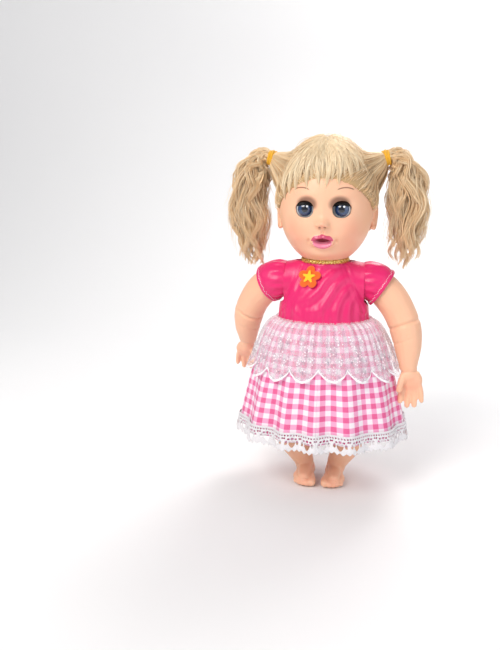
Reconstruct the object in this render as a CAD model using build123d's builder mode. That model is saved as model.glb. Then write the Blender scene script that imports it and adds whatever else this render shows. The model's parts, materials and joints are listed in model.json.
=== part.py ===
"""Talking baby doll: hard torso with a sound unit, vinyl head with sleeping eyes, vinyl limbs, a dress.

Row frame: +Z up, the doll faces -Y, its own left hand is on +X, and the soles stand on Z = 0.
All sizes are in millimetres.
"""

from build123d import *
import os
from math import cos, pi, radians, sin, sqrt

# ---------------------------------------------------------------- driving dimensions
# Head: two half ellipsoids that share an equator at eye level.
HEAD_HALF_WIDTH = 40.3
HEAD_HALF_DEPTH = 42.5
HEAD_UP = 56.0  # equator to crown
HEAD_LOW = 50.5  # half axis of the lower ellipsoid, cut off at the neck rim
HEAD_WALL = 2.4
NECK_Y = 2.0  # the neck and the skull share this axis
# Neck
NECK_R = 13.6
NECK_FIT = 0.08  # radial running gap of the head's rim on the neck knob
NECK_FLANGE = 3.0  # how far the knob's head reaches past its shaft
NECK_RIM = 3.0  # thickness of the head's rim
NECK_RIM_WIDTH = 4.4
NECK_GAP = 0.5  # play above and below the rim
# Torso
TORSO_HALF_WIDTH = 38.5
TORSO_HALF_DEPTH = 28.5
TORSO_UP = 60.0
TORSO_LOW = 30.0
TORSO_WALL = 2.2
TORSO_TOP = 203.0  # the flat collar above the floor
COLLAR_WALL = 4.4  # collar outside the neck shaft
HIP_Z = 101.0
HIP_R = 18.5
RIGHT_ARM_BACK = 34.0  # how far the right arm is turned back from straight down, in degrees
PELVIS_HALF_WIDTH = 22.0
PELVIS_R = 20.0
# Limbs
SHOULDER_DROP = 18.0  # collar to shoulder axis
SHOULDER_Y = 2.0
SHOULDER_R = 14.0
LIMB_WALL = 2.2
LIMB_GAP = 0.7  # between a limb's flat face and the torso
PEG_R = 6.5
PEG_FIT = 0.06  # radial running gap of a limb's peg in the torso
PEG_FLANGE = 2.6
PEG_FLANGE_THICK = 2.0
# Eyes
EYE_R = 8.4
EYE_WALL = 1.4
LID_WALL = 0.5
EYE_GAP = 0.4  # lid to cup
CUP_WALL = 1.1
EYE_X = 15.0
EYE_SET = 1.8  # how far the eyeball's front lies behind the face
EYE_OPENING = (15.0, 13.6, 4.8)  # width, height, corner radius
IRIS_R = 5.9
LID_EDGE = 24.0  # degrees above the eye's axis when open
LID_SPAN = 118.0
LASH_REACH = 2.2
EYE_PIN_R = 0.8
EYE_PIN_FIT = 0.06
# Sound unit
BUTTON_R = 9.0
BUTTON_FIT = 0.3
BUTTON_TRAVEL = 2.5
BUTTON_LIP = 1.6
SPRING_WIRE = 0.6
SPRING_R = 4.2
SPEAKER_R = 13.5
BOARD = (36.0, 1.6, 34.0)
BOARD_Y = -4.0  # front face of the circuit board
CELL_R = 5.8  # button cell
CELL_HEIGHT = 5.4
CELL_COUNT = 3
DOOR = (28.0, 1.8, 20.0)
DOOR_FIT = 0.2
SCREW_R = 1.3
SCREW_HEAD_R = 2.4
SWITCH = (9.0, 5.0, 5.0)
KNOB = (3.0, 3.2, 3.0)
KNOB_TRAVEL = 3.0
# Hair
HAIR = 4.2
FRINGE = 2.0
TIE_R = 4.4
BAND_WIRE = 1.9
TAIL_R = 15.0
# Dress
CLOTH = 1.2
CLOTH_GAP = 1.0
WAIST_Z = 155.0
SKIRT_HEM_Z = 54.0
TRIM_DROP = 8.0  # how far the hem lace hangs below the skirt
TRIM_LAP = 9.0  # how far it laps over it
SKIRT_EASE = 5.5  # waist gathers beyond the torso
HEM_FLARE = 30.0
LACE_DROP = 45.0
LACE_SCALLOPS = 16
TRIM_POINTS = 32
PETAL_R = 4.4
PETALS = 5
NECK_BAND_R = 1.5

# ---------------------------------------------------------------- places that follow from them
RIM_LOW = TORSO_TOP + 2 * NECK_GAP
RIM_TOP = RIM_LOW + NECK_RIM
RIM_R = NECK_R + NECK_FIT + NECK_RIM_WIDTH
EQUATOR = RIM_LOW + HEAD_LOW * sqrt(1 - (RIM_R / HEAD_HALF_DEPTH) ** 2)
HEAD_AT = (0, NECK_Y, EQUATOR)
TORSO_Z = TORSO_TOP - 0.94 * TORSO_UP
TORSO_AT = (0, 0, TORSO_Z)
COLLAR_R = NECK_R + COLLAR_WALL
SHOULDER_Z = TORSO_TOP - SHOULDER_DROP
SHOULDER_HALF_SPAN = TORSO_HALF_WIDTH - 4.0
ARM_FACE = SHOULDER_HALF_SPAN + LIMB_GAP
ARMHOLE_R = SHOULDER_R + 8.0
LEG_FACE = PELVIS_HALF_WIDTH + LIMB_GAP
LID_R = EYE_R + LID_WALL
CUP_R = LID_R + EYE_GAP
EYE_Z = EQUATOR - 1.0
BUTTON_Z = TORSO_Z
SPEAKER_Z = TORSO_TOP - 27.0
BAY_Z = WAIST_Z
SWITCH_Z = BAY_Z + 19.0
SKIRT_TOP = WAIST_Z + CLOTH
LACE_LOW = SKIRT_TOP - LACE_DROP
WAIST_HALF_WIDTH = TORSO_HALF_WIDTH + SKIRT_EASE
WAIST_HALF_DEPTH = TORSO_HALF_DEPTH + SKIRT_EASE - 1.0
TIE = (HEAD_HALF_WIDTH + 8.5, NECK_Y + 8, EQUATOR + 40)
SIDES = (("left", 1), ("right", -1))

os.makedirs("parts", exist_ok=True)


# ---------------------------------------------------------------- shape helpers
def ellipsoid(centre, rx, ry, rz):
    """A closed ellipsoid with these half axes."""
    with BuildPart() as ball:
        Sphere(1)
        scale(by=(rx, ry, rz))
    return Pos(*centre) * ball.part


def egg(centre, half_width, half_depth, up, low, grow=0.0):
    """Two half ellipsoids on one equator; grow moves the whole surface outwards."""
    level = Plane.XY.offset(centre[2])
    with BuildPart() as upper:
        add(ellipsoid(centre, half_width + grow, half_depth + grow, up + grow))
        split(bisect_by=level, keep=Keep.TOP)
    with BuildPart() as lower:
        add(ellipsoid(centre, half_width + grow, half_depth + grow, low + grow))
        split(bisect_by=level, keep=Keep.BOTTOM)
    with BuildPart() as whole:
        add(upper.part)
        add(lower.part)
    return whole.part


def rod(start, end, radius):
    """A round bar from start to end."""
    along = Vector(*end) - Vector(*start)
    with BuildPart() as bar:
        with BuildSketch(Plane(origin=start, z_dir=along)):
            Circle(radius)
        extrude(amount=along.length)
    return bar.part


def tapered(stations, grow=0.0):
    """A smooth limb through round sections, each (point, radius, direction)."""
    with BuildPart() as limb:
        for point, radius, direction in stations:
            with BuildSketch(Plane(origin=point, z_dir=direction)):
                Circle(radius + grow)
        loft()
    return limb.part


def digit(root, tip, root_r, tip_r):
    """A round-ended finger, thumb or toe."""
    along = Vector(*tip) - Vector(*root)
    with BuildPart() as finger:
        with BuildSketch(Plane(origin=root, z_dir=along)):
            Circle(root_r)
        with BuildSketch(Plane(origin=tip, z_dir=along)):
            Circle(tip_r)
        loft()
        with Locations(root):
            Sphere(root_r)
        with Locations(tip):
            Sphere(tip_r)
    return finger.part


def block(low, high):
    """A plain block between two corners."""
    middle = [(a + b) / 2 for a, b in zip(low, high)]
    size = [b - a for a, b in zip(low, high)]
    with BuildPart() as brick:
        with Locations(tuple(middle)):
            Box(*size)
    return brick.part


def slice_z(shape, low, high):
    """The part of a shape between two heights."""
    with BuildPart() as piece:
        add(shape)
        split(bisect_by=Plane.XY.offset(low), keep=Keep.TOP)
        split(bisect_by=Plane.XY.offset(high), keep=Keep.BOTTOM)
    return piece.part


def keep_part(shape, label):
    """Names a finished piece and writes it."""
    shape.label = label
    export_step(shape, f"parts/{label}.step")


def keep_pair(shape, label, swing=0.0):
    """Keeps a right-hand piece and its mirror image; swing turns the right one back about the shoulders."""
    shoulders = Axis((0, SHOULDER_Y, SHOULDER_Z), (1, 0, 0))
    keep_part(shape.rotate(shoulders, swing) if swing else shape, f"right_{label}")
    keep_part(mirror(shape, about=Plane.YZ), f"left_{label}")


# ---------------------------------------------------------------- head
def skull(grow=0.0):
    return egg(HEAD_AT, HEAD_HALF_WIDTH, HEAD_HALF_DEPTH, HEAD_UP, HEAD_LOW, grow)


def face_y(x, z):
    """The skull's front surface at this width and height."""
    height = HEAD_UP if z > EQUATOR else HEAD_LOW
    inside = 1 - (x / HEAD_HALF_WIDTH) ** 2 - ((z - EQUATOR) / height) ** 2
    return NECK_Y - HEAD_HALF_DEPTH * sqrt(inside)


EYE_Y = face_y(EYE_X, EYE_Z) + EYE_SET + EYE_R
NOSE_Z = EQUATOR - 12.0
MOUTH_Z = EQUATOR - 27.0
EAR_Z = EQUATOR - 9.0
LIP_HALF_WIDTH = 8.2
skull_inner = skull(-HEAD_WALL)

with BuildPart() as head_block:
    add(skull())
    for side in (-1, 1):
        cheek = (side * 0.47 * HEAD_HALF_WIDTH, NECK_Y - 0.52 * HEAD_HALF_DEPTH, EQUATOR - 20)
        add(ellipsoid(cheek, 0.46 * HEAD_HALF_WIDTH, 0.31 * HEAD_HALF_DEPTH, 17))
    add(ellipsoid((0, NECK_Y - 0.52 * HEAD_HALF_DEPTH, EQUATOR - 35.5), 10, 8.4, 6.5))
    add(ellipsoid((0, face_y(0, NOSE_Z) - 1.2, NOSE_Z), 6.0, 5.6, 4.6))
    add(ellipsoid((0, face_y(0, MOUTH_Z + 2) + 0.6, MOUTH_Z + 2.2), LIP_HALF_WIDTH, 3.6, 3.4))
    add(ellipsoid((0, face_y(0, MOUTH_Z - 4) + 0.8, MOUTH_Z - 3.6), LIP_HALF_WIDTH - 1.6, 3.6, 3.2))
    for side in (-1, 1):
        add(ellipsoid((side * (HEAD_HALF_WIDTH - 0.4), NECK_Y + 5, EAR_Z), 4.6, 6.4, 10.0))
    split(bisect_by=Plane.XY.offset(RIM_LOW), keep=Keep.TOP)
head_solid = head_block.part
head_cavity = skull_inner - ellipsoid((0, face_y(0, MOUTH_Z) + 1.0, MOUTH_Z), 8.0, 5.0, 6.0)

with BuildPart() as head_shell:
    add(head_solid)
    add(ellipsoid((0, face_y(0, MOUTH_Z) - 1.4, MOUTH_Z - 0.4), 5.2, 4.4, 2.4), mode=Mode.SUBTRACT)
    for side in (-1, 1):
        concha = (side * (HEAD_HALF_WIDTH + 4.4), NECK_Y + 3, EAR_Z + 1)
        add(ellipsoid(concha, 2.6, 3.2, 6.0), mode=Mode.SUBTRACT)
    add(head_cavity, mode=Mode.SUBTRACT)
    # The rim that runs in the neck knob's groove.
    with BuildSketch(Plane.XY.offset(RIM_LOW)):
        with Locations((0, NECK_Y)):
            Circle(RIM_R)
    extrude(amount=NECK_RIM)
    with BuildSketch(Plane.XY.offset(RIM_LOW)):
        with Locations((0, NECK_Y)):
            Circle(NECK_R + NECK_FIT)
    extrude(amount=NECK_RIM, mode=Mode.SUBTRACT)
    for side in (-1, 1):
        with Locations((side * EYE_X, EYE_Y, EYE_Z)):
            Sphere(CUP_R, mode=Mode.SUBTRACT)
        with BuildSketch(Plane(origin=(side * EYE_X, EYE_Y, EYE_Z), x_dir=(1, 0, 0), z_dir=(0, -1, 0))):
            RectangleRounded(*EYE_OPENING)
        extrude(amount=HEAD_HALF_DEPTH, mode=Mode.SUBTRACT)
keep_part(head_shell.part, "head_shell")

# ---------------------------------------------------------------- sleeping eyes
IRIS_BACK = sqrt((EYE_R - EYE_WALL) ** 2 - IRIS_R**2) - 0.6
IRIS_FRONT = IRIS_BACK + 1.6
PIN_REACH = CUP_R + 0.5 * CUP_WALL
WEIGHT_R = 0.27 * EYE_R
WEIGHT_Y = 0.36 * EYE_R
WEIGHT_DROP = 0.30 * EYE_R
WEIGHT_HALF = 0.36 * EYE_R
for name, side in SIDES:
    eye_at = (side * EYE_X, EYE_Y, EYE_Z)
    front = Plane(origin=eye_at, x_dir=(1, 0, 0), z_dir=(0, -1, 0))
    through = ((eye_at[0] - 2 * EYE_R, EYE_Y, EYE_Z), (eye_at[0] + 2 * EYE_R, EYE_Y, EYE_Z))
    pin = rod((eye_at[0] - PIN_REACH, EYE_Y, EYE_Z), (eye_at[0] + PIN_REACH, EYE_Y, EYE_Z), EYE_PIN_R)

    with BuildPart() as eye_cup:
        with Locations(eye_at):
            Sphere(CUP_R + CUP_WALL)
            Sphere(CUP_R, mode=Mode.SUBTRACT)
        add(skull_inner, mode=Mode.INTERSECT)
        with BuildSketch(front):
            RectangleRounded(*EYE_OPENING)
        extrude(amount=HEAD_HALF_DEPTH, mode=Mode.SUBTRACT)
        add(rod(*through, EYE_PIN_R + EYE_PIN_FIT), mode=Mode.SUBTRACT)
    keep_part(eye_cup.part, f"{name}_eye_cup")

    with BuildPart() as eyeball:
        with Locations(eye_at):
            Sphere(EYE_R)
            Sphere(EYE_R - EYE_WALL, mode=Mode.SUBTRACT)
        with BuildSketch(front):
            Circle(IRIS_R)
        extrude(amount=EYE_R + 1, mode=Mode.SUBTRACT)
        add(pin, mode=Mode.SUBTRACT)
    keep_part(eyeball.part, f"{name}_eyeball")

    with BuildPart() as iris:
        with BuildSketch(front.offset(IRIS_BACK)):
            Circle(IRIS_R)
        extrude(amount=IRIS_FRONT - IRIS_BACK)
        with BuildSketch(front.offset(IRIS_FRONT - 0.5)):
            Circle(IRIS_R * 0.36)
        extrude(amount=0.5, mode=Mode.SUBTRACT)
        with Locations(eye_at):
            Sphere(EYE_R, mode=Mode.INTERSECT)
    keep_part(iris.part, f"{name}_iris")

    with BuildPart() as cornea:
        with Locations(eye_at):
            Sphere(EYE_R)
        with BuildSketch(front):
            Circle(IRIS_R)
        extrude(amount=EYE_R + 1, mode=Mode.INTERSECT)
        split(bisect_by=front.offset(IRIS_FRONT), keep=Keep.TOP)
    keep_part(cornea.part, f"{name}_cornea")

    # The lid covers the ball from just above the iris over the top.
    near = radians(LID_EDGE)
    far = radians(LID_EDGE + LID_SPAN)
    with BuildPart() as eyelid:
        with Locations(eye_at):
            Sphere(LID_R)
            Sphere(EYE_R, mode=Mode.SUBTRACT)
        split(bisect_by=Plane(origin=eye_at, z_dir=(0, sin(near), cos(near))), keep=Keep.TOP)
        split(bisect_by=Plane(origin=eye_at, z_dir=(0, sin(far), cos(far))), keep=Keep.BOTTOM)
        add(rod(*through, 2.6), mode=Mode.SUBTRACT)
    keep_part(eyelid.part, f"{name}_eyelid")

    # A thin fan on the lid's edge.
    lash_angle = radians(LID_EDGE + 3)
    fan = Plane(origin=eye_at, x_dir=(1, 0, 0), z_dir=(0, sin(lash_angle), cos(lash_angle)))
    half_fan = 0.31 * EYE_OPENING[0]
    with BuildPart() as lashes:
        with BuildSketch(fan):
            Circle(LID_R + LASH_REACH)
            Rectangle(2 * half_fan, 4 * LID_R, mode=Mode.INTERSECT)
        extrude(amount=0.2, both=True)
        with Locations(eye_at):
            Sphere(LID_R, mode=Mode.SUBTRACT)
        split(bisect_by=Plane(origin=eye_at, z_dir=(0, -1, 0)), keep=Keep.TOP)
    keep_part(lashes.part, f"{name}_lashes")

    sink = (eye_at[0], EYE_Y + WEIGHT_Y, EYE_Z - WEIGHT_DROP)
    with BuildPart() as weight:
        add(pin)
        add(rod((sink[0] - WEIGHT_HALF, sink[1], sink[2]), (sink[0] + WEIGHT_HALF, sink[1], sink[2]), WEIGHT_R))
        add(rod(eye_at, sink, EYE_PIN_R))
    keep_part(weight.part, f"{name}_eye_weight")

# ---------------------------------------------------------------- hair
hairline = Plane(origin=(0, NECK_Y + 12, EQUATOR - 24), z_dir=(0, 47, 54))
hair_outer = skull(HAIR)
with BuildPart() as hair_cap:
    add(hair_outer)
    add(head_solid, mode=Mode.SUBTRACT)
    split(bisect_by=hairline, keep=Keep.TOP)
    split(bisect_by=Plane.XY.offset(RIM_TOP + 6), keep=Keep.TOP)
    for name, side in SIDES:
        ear_near = (side * 0.7 * HEAD_HALF_WIDTH, NECK_Y + 2, EAR_Z)
        ear_far = (side * 2 * HEAD_HALF_WIDTH, NECK_Y + 2, EAR_Z)
        add(rod(ear_near, ear_far, 11), mode=Mode.SUBTRACT)
keep_part(hair_cap.part, "hair_cap")

fringe_at = (0, NECK_Y - 0.8 * HEAD_HALF_DEPTH, EQUATOR + 33)
with BuildPart() as fringe:
    add(skull(HAIR + FRINGE))
    add(ellipsoid(fringe_at, 0.7 * HEAD_HALF_WIDTH, 0.62 * HEAD_HALF_DEPTH, 14), mode=Mode.INTERSECT)
    add(hair_cap.part, mode=Mode.SUBTRACT)
    add(head_solid, mode=Mode.SUBTRACT)
keep_part(fringe.part, "fringe")

def on_tie(x, y, z):
    """A point measured out from the right hair tie."""
    return (-(TIE[0] + x), TIE[1] + y, TIE[2] + z)


gather = tapered([
    (on_tie(-22, 1, -12), 13, (-1, 0, 0.55)),
    (on_tie(-10, 0, -4), 8.5, (-1, 0, 0.5)),
    (on_tie(0, 0, 0), TIE_R, (-1, 0, 0.2)),
])
tail = tapered([
    (on_tie(0, 0, 0), TIE_R, (-1, 0, 0.2)),
    (on_tie(5.5, 0.5, -0.6), 5.5, (-1, 0.05, -0.5)),
    (on_tie(12, 2, -6), 8.0, (-1, 0.1, -1.0)),
    (on_tie(18, 4, -19), 0.86 * TAIL_R, (-0.35, 0.15, -1)),
    (on_tie(21, 6, -38), TAIL_R, (-0.05, 0.12, -1)),
    (on_tie(21, 8, -60), 0.97 * TAIL_R, (0, 0.1, -1)),
    (on_tie(20, 10, -80), 0.78 * TAIL_R, (0.05, 0.1, -1)),
    (on_tie(18.5, 12, -95), 0.35 * TAIL_R, (0.1, 0.1, -1)),
])
with BuildPart() as pigtail:
    add(gather)
    add(tail)
    with Locations(on_tie(18.5, 12, -95)):
        Sphere(0.35 * TAIL_R)
    add(hair_outer, mode=Mode.SUBTRACT)
keep_pair(pigtail.part, "pigtail")

with BuildPart() as hair_band:
    with Locations(Plane(origin=on_tie(0, 0, 0), z_dir=(-1, 0, 0.2))):
        Torus(TIE_R + BAND_WIRE, BAND_WIRE)
    add(pigtail.part, mode=Mode.SUBTRACT)
keep_pair(hair_band.part, "hair_band")


# ---------------------------------------------------------------- torso
def trunk(grow=0.0):
    """The trunk with collar and shoulder bosses, grown for clothes or shrunk for the hollow."""
    shrink = min(grow, 0.0)
    shoulder = SHOULDER_HALF_SPAN + shrink
    with BuildPart() as body:
        add(egg(TORSO_AT, TORSO_HALF_WIDTH, TORSO_HALF_DEPTH, TORSO_UP, TORSO_LOW, grow))
        add(rod((0, NECK_Y, TORSO_Z), (0, NECK_Y, TORSO_TOP), COLLAR_R + grow))
        add(rod((-shoulder, SHOULDER_Y, SHOULDER_Z), (shoulder, SHOULDER_Y, SHOULDER_Z), SHOULDER_R + grow))
        split(bisect_by=Plane.XY.offset(TORSO_TOP + shrink), keep=Keep.BOTTOM)
        for side in (-1, 1):
            near = (side * shoulder, SHOULDER_Y, SHOULDER_Z)
            far = (side * 3 * SHOULDER_HALF_SPAN, SHOULDER_Y, SHOULDER_Z)
            add(rod(near, far, ARMHOLE_R), mode=Mode.SUBTRACT)
    return body.part


def pelvis(grow=0.0):
    """The hip block, round about the hip axis."""
    half = PELVIS_HALF_WIDTH + grow
    reach = PELVIS_R + grow
    with BuildPart() as hips:
        add(rod((-half, 0, HIP_Z), (half, 0, HIP_Z), reach))
        add(block((-half, -reach, HIP_Z), (half, reach, TORSO_Z - 0.55 * TORSO_LOW)))
    return hips.part


clothes_inner = trunk(CLOTH_GAP)
clothes_outer = trunk(CLOTH_GAP + CLOTH)
torso_block = trunk() + pelvis()
torso_hollow = trunk(-TORSO_WALL) + pelvis(-TORSO_WALL)

DOOR_FACE = TORSO_HALF_DEPTH - 3.3
DOOR_BACK = DOOR_FACE - DOOR[1]
CELL_Y = DOOR_BACK - CELL_R - 0.3
BAY_HALF = CELL_COUNT * CELL_HEIGHT / 2 + 0.8
POST_R = SCREW_R + 2.0
POSTS = [(sx * 0.55 * TORSO_HALF_WIDTH, SPEAKER_Z - 6) for sx in (-1, 1)]
POSTS += [(sx * (PELVIS_HALF_WIDTH - 9), HIP_Z + 11) for sx in (-1, 1)]
CORNERS = [(sx * (BOARD[0] / 2 - 2.2), BUTTON_Z + sz * (BOARD[2] / 2 - 2.2)) for sx in (-1, 1) for sz in (-1, 1)]
SPEAKER_FACE = -(TORSO_HALF_DEPTH - 12.0)
DEEP = 2 * TORSO_HALF_DEPTH

with BuildPart() as front_frame:
    add(rod((0, SPEAKER_FACE + 3, SPEAKER_Z), (0, -DEEP, SPEAKER_Z), SPEAKER_R + 1.6))
    add(rod((0, SPEAKER_FACE + 3, SPEAKER_Z), (0, SPEAKER_FACE, SPEAKER_Z), SPEAKER_R), mode=Mode.SUBTRACT)
    add(rod((0, SPEAKER_FACE, SPEAKER_Z), (0, -DEEP, SPEAKER_Z), SPEAKER_R - 1.4), mode=Mode.SUBTRACT)
    for x, z in POSTS:
        add(rod((x, 0, z), (x, -DEEP, z), POST_R))
    for x, z in CORNERS:
        add(rod((x, BOARD_Y, z), (x, -DEEP, z), 1.6))
    add(torso_block, mode=Mode.INTERSECT)

with BuildPart() as torso_front:
    add(torso_block)
    add(torso_hollow, mode=Mode.SUBTRACT)
    add(front_frame.part)
    split(bisect_by=Plane.XZ, keep=Keep.TOP)
    # Neck hole, hip and shoulder peg holes, button hole, grille, screw pilot holes.
    add(rod((0, NECK_Y, TORSO_TOP - 3 * TORSO_WALL), (0, NECK_Y, TORSO_TOP + 5), NECK_R), mode=Mode.SUBTRACT)
    add(rod((-SHOULDER_HALF_SPAN - 5, SHOULDER_Y, SHOULDER_Z), (SHOULDER_HALF_SPAN + 5, SHOULDER_Y, SHOULDER_Z),
            PEG_R + PEG_FIT), mode=Mode.SUBTRACT)
    add(rod((-PELVIS_HALF_WIDTH - 5, 0, HIP_Z), (PELVIS_HALF_WIDTH + 5, 0, HIP_Z), PEG_R + PEG_FIT),
        mode=Mode.SUBTRACT)
    add(rod((0, BOARD_Y, BUTTON_Z), (0, -DEEP, BUTTON_Z), BUTTON_R + BUTTON_FIT), mode=Mode.SUBTRACT)
    for x, z in POSTS:
        add(rod((x, 1, z), (x, -9, z), SCREW_R), mode=Mode.SUBTRACT)
    with BuildSketch(Plane(origin=(0, SPEAKER_FACE, SPEAKER_Z), x_dir=(1, 0, 0), z_dir=(0, -1, 0))):
        with HexLocations(2.6, 5, 5):
            Circle(1.2)
        Circle(SPEAKER_R - 3, mode=Mode.INTERSECT)
    extrude(amount=DEEP, mode=Mode.SUBTRACT)
keep_part(torso_front.part, "torso_front")

recess_low = (-DOOR[0] / 2 - DOOR_FIT, DOOR_BACK, BAY_Z - DOOR[2] / 2 - DOOR_FIT)
recess_high = (DOOR[0] / 2 + DOOR_FIT, DEEP, BAY_Z + DOOR[2] / 2 + DOOR_FIT)
DOOR_SCREW_X = DOOR[0] / 2 - 2.6
SWITCH_FACE = DOOR_BACK - 1.5  # rear face of the switch body, flat against its pad
with BuildPart() as back_frame:
    add(block((-DOOR[0] / 2 - 2.4, CELL_Y - CELL_R - 1.8, BAY_Z - DOOR[2] / 2 - 2.4),
              (DOOR[0] / 2 + 2.4, DEEP, BAY_Z + DOOR[2] / 2 + 2.4)))
    add(block((-SWITCH[0] / 2 - 2, SWITCH_FACE, BAY_Z), (SWITCH[0] / 2 + 2, DEEP, SWITCH_Z + SWITCH[2] / 2 + 2)))
    for x, z in POSTS:
        add(rod((x, 0, z), (x, DEEP, z), POST_R))
    add(torso_block, mode=Mode.INTERSECT)

with BuildPart() as torso_back:
    add(torso_block)
    add(torso_hollow, mode=Mode.SUBTRACT)
    add(back_frame.part)
    split(bisect_by=Plane.XZ, keep=Keep.BOTTOM)
    add(rod((0, NECK_Y, TORSO_TOP - 3 * TORSO_WALL), (0, NECK_Y, TORSO_TOP + 5), NECK_R), mode=Mode.SUBTRACT)
    add(rod((-SHOULDER_HALF_SPAN - 5, SHOULDER_Y, SHOULDER_Z), (SHOULDER_HALF_SPAN + 5, SHOULDER_Y, SHOULDER_Z),
            PEG_R + PEG_FIT), mode=Mode.SUBTRACT)
    add(rod((-PELVIS_HALF_WIDTH - 5, 0, HIP_Z), (PELVIS_HALF_WIDTH + 5, 0, HIP_Z), PEG_R + PEG_FIT),
        mode=Mode.SUBTRACT)
    add(block(recess_low, recess_high), mode=Mode.SUBTRACT)
    # The flat round the door, and the pocket for the cells.
    add(block((recess_low[0] - 1.4, DOOR_FACE, recess_low[2] - 1.4), (recess_high[0] + 1.4, DEEP, recess_high[2] + 1.4)),
        mode=Mode.SUBTRACT)
    add(block((-BAY_HALF, CELL_Y - CELL_R - 0.3, BAY_Z - CELL_R - 0.3), (BAY_HALF, DEEP, BAY_Z + CELL_R + 0.3)),
        mode=Mode.SUBTRACT)
    add(rod((DOOR_SCREW_X, DOOR_FACE, BAY_Z), (DOOR_SCREW_X, DOOR_BACK - 8, BAY_Z), SCREW_R), mode=Mode.SUBTRACT)
    # The switch's slot and the finger recess over it.
    add(block((-KNOB_TRAVEL / 2 - KNOB[0] / 2 - 0.3, SWITCH_FACE - 1, SWITCH_Z - KNOB[2] / 2 - 0.3),
              (KNOB_TRAVEL / 2 + KNOB[0] / 2 + 0.3, DEEP, SWITCH_Z + KNOB[2] / 2 + 0.3)), mode=Mode.SUBTRACT)
    for x, z in POSTS:
        add(rod((x, -1, z), (x, DEEP, z), SCREW_R), mode=Mode.SUBTRACT)
        add(rod((x, 12, z), (x, DEEP, z), SCREW_HEAD_R + 0.3), mode=Mode.SUBTRACT)
keep_part(torso_back.part, "torso_back")

with BuildPart() as neck_knob:
    collar_floor = TORSO_TOP - TORSO_WALL
    add(rod((0, NECK_Y, collar_floor - 2), (0, NECK_Y, collar_floor), COLLAR_R - TORSO_WALL))
    add(rod((0, NECK_Y, collar_floor - 2), (0, NECK_Y, RIM_TOP + NECK_GAP), NECK_R))
    add(rod((0, NECK_Y, RIM_TOP + NECK_GAP), (0, NECK_Y, RIM_TOP + NECK_GAP + 2.4), NECK_R + NECK_FLANGE))
    add(rod((0, NECK_Y, collar_floor - 3), (0, NECK_Y, RIM_TOP + 5), NECK_R - 3), mode=Mode.SUBTRACT)
keep_part(neck_knob.part, "neck_knob")

with BuildPart() as battery_door:
    add(block((-DOOR[0] / 2, DOOR_BACK, BAY_Z - DOOR[2] / 2), (DOOR[0] / 2, DOOR_FACE, BAY_Z + DOOR[2] / 2)))
    add(rod((DOOR_SCREW_X, DOOR_FACE, BAY_Z), (DOOR_SCREW_X, DOOR_BACK - 1, BAY_Z), SCREW_R), mode=Mode.SUBTRACT)
    for step in range(4):
        x = -DOOR[0] / 2 + 5 + 2.2 * step
        add(block((x, DOOR_FACE - 0.5, BAY_Z - 6), (x + 1.0, DOOR_FACE + 1, BAY_Z + 6)), mode=Mode.SUBTRACT)
keep_part(battery_door.part, "battery_door")

with BuildPart() as battery_door_screw:
    add(rod((DOOR_SCREW_X, DOOR_FACE, BAY_Z), (DOOR_SCREW_X, DOOR_BACK - 6, BAY_Z), SCREW_R))
    add(rod((DOOR_SCREW_X, DOOR_FACE + 0.9, BAY_Z), (DOOR_SCREW_X, DOOR_FACE, BAY_Z), SCREW_HEAD_R))
    add(block((DOOR_SCREW_X - 1.6, DOOR_FACE + 0.4, BAY_Z - 0.3), (DOOR_SCREW_X + 1.6, DEEP, BAY_Z + 0.3)),
        mode=Mode.SUBTRACT)
    add(block((DOOR_SCREW_X - 0.3, DOOR_FACE + 0.4, BAY_Z - 1.6), (DOOR_SCREW_X + 0.3, DEEP, BAY_Z + 1.6)),
        mode=Mode.SUBTRACT)
keep_part(battery_door_screw.part, "battery_door_screw")

CELLS_HALF = CELL_COUNT * CELL_HEIGHT / 2
with BuildPart() as button_cells:
    for step in range(CELL_COUNT):
        x = -CELLS_HALF + step * CELL_HEIGHT
        add(rod((x, CELL_Y, BAY_Z), (x + CELL_HEIGHT - 1.2, CELL_Y, BAY_Z), CELL_R))
        add(rod((x + CELL_HEIGHT - 1.3, CELL_Y, BAY_Z), (x + CELL_HEIGHT, CELL_Y, BAY_Z), CELL_R - 1.1))
keep_part(button_cells.part, "button_cells")

with BuildPart() as battery_contacts:
    for end in (-1, 1):
        inner = end * CELLS_HALF
        outer = end * BAY_HALF
        low_x, high_x = min(inner, outer), max(inner, outer)
        add(block((low_x, CELL_Y - 4, BAY_Z - 4), (high_x, CELL_Y + 4, BAY_Z + 4)))
keep_part(battery_contacts.part, "battery_contacts")

with BuildPart() as circuit_board:
    add(block((-BOARD[0] / 2, BOARD_Y, BUTTON_Z - BOARD[2] / 2), (BOARD[0] / 2, BOARD_Y + BOARD[1], BUTTON_Z + BOARD[2] / 2)))
keep_part(circuit_board.part, "circuit_board")

with BuildPart() as board_parts:
    back = BOARD_Y + BOARD[1]
    add(rod((9, BOARD_Y, BUTTON_Z + 10), (9, BOARD_Y - 5, BUTTON_Z + 10), 2.6))
    add(block((-14, BOARD_Y - 1.6, BUTTON_Z - 14), (-7, BOARD_Y, BUTTON_Z - 4)))
    add(block((6, BOARD_Y - 0.9, BUTTON_Z - 13), (9, BOARD_Y, BUTTON_Z - 11)))
    add(block((12, BOARD_Y - 0.9, BUTTON_Z - 13), (15, BOARD_Y, BUTTON_Z - 11)))
keep_part(board_parts.part, "board_parts")

with BuildPart() as dome_switch:
    with BuildSketch(Plane(origin=(0, BOARD_Y, BUTTON_Z), x_dir=(1, 0, 0), z_dir=(0, -1, 0))):
        Circle(5.4)
    extrude(amount=0.6)
    with BuildSketch(Plane(origin=(0, BOARD_Y - 0.6, BUTTON_Z), x_dir=(1, 0, 0), z_dir=(0, -1, 0))):
        Circle(3.0)
    extrude(amount=1.0, taper=12)
keep_part(dome_switch.part, "dome_switch")

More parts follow.
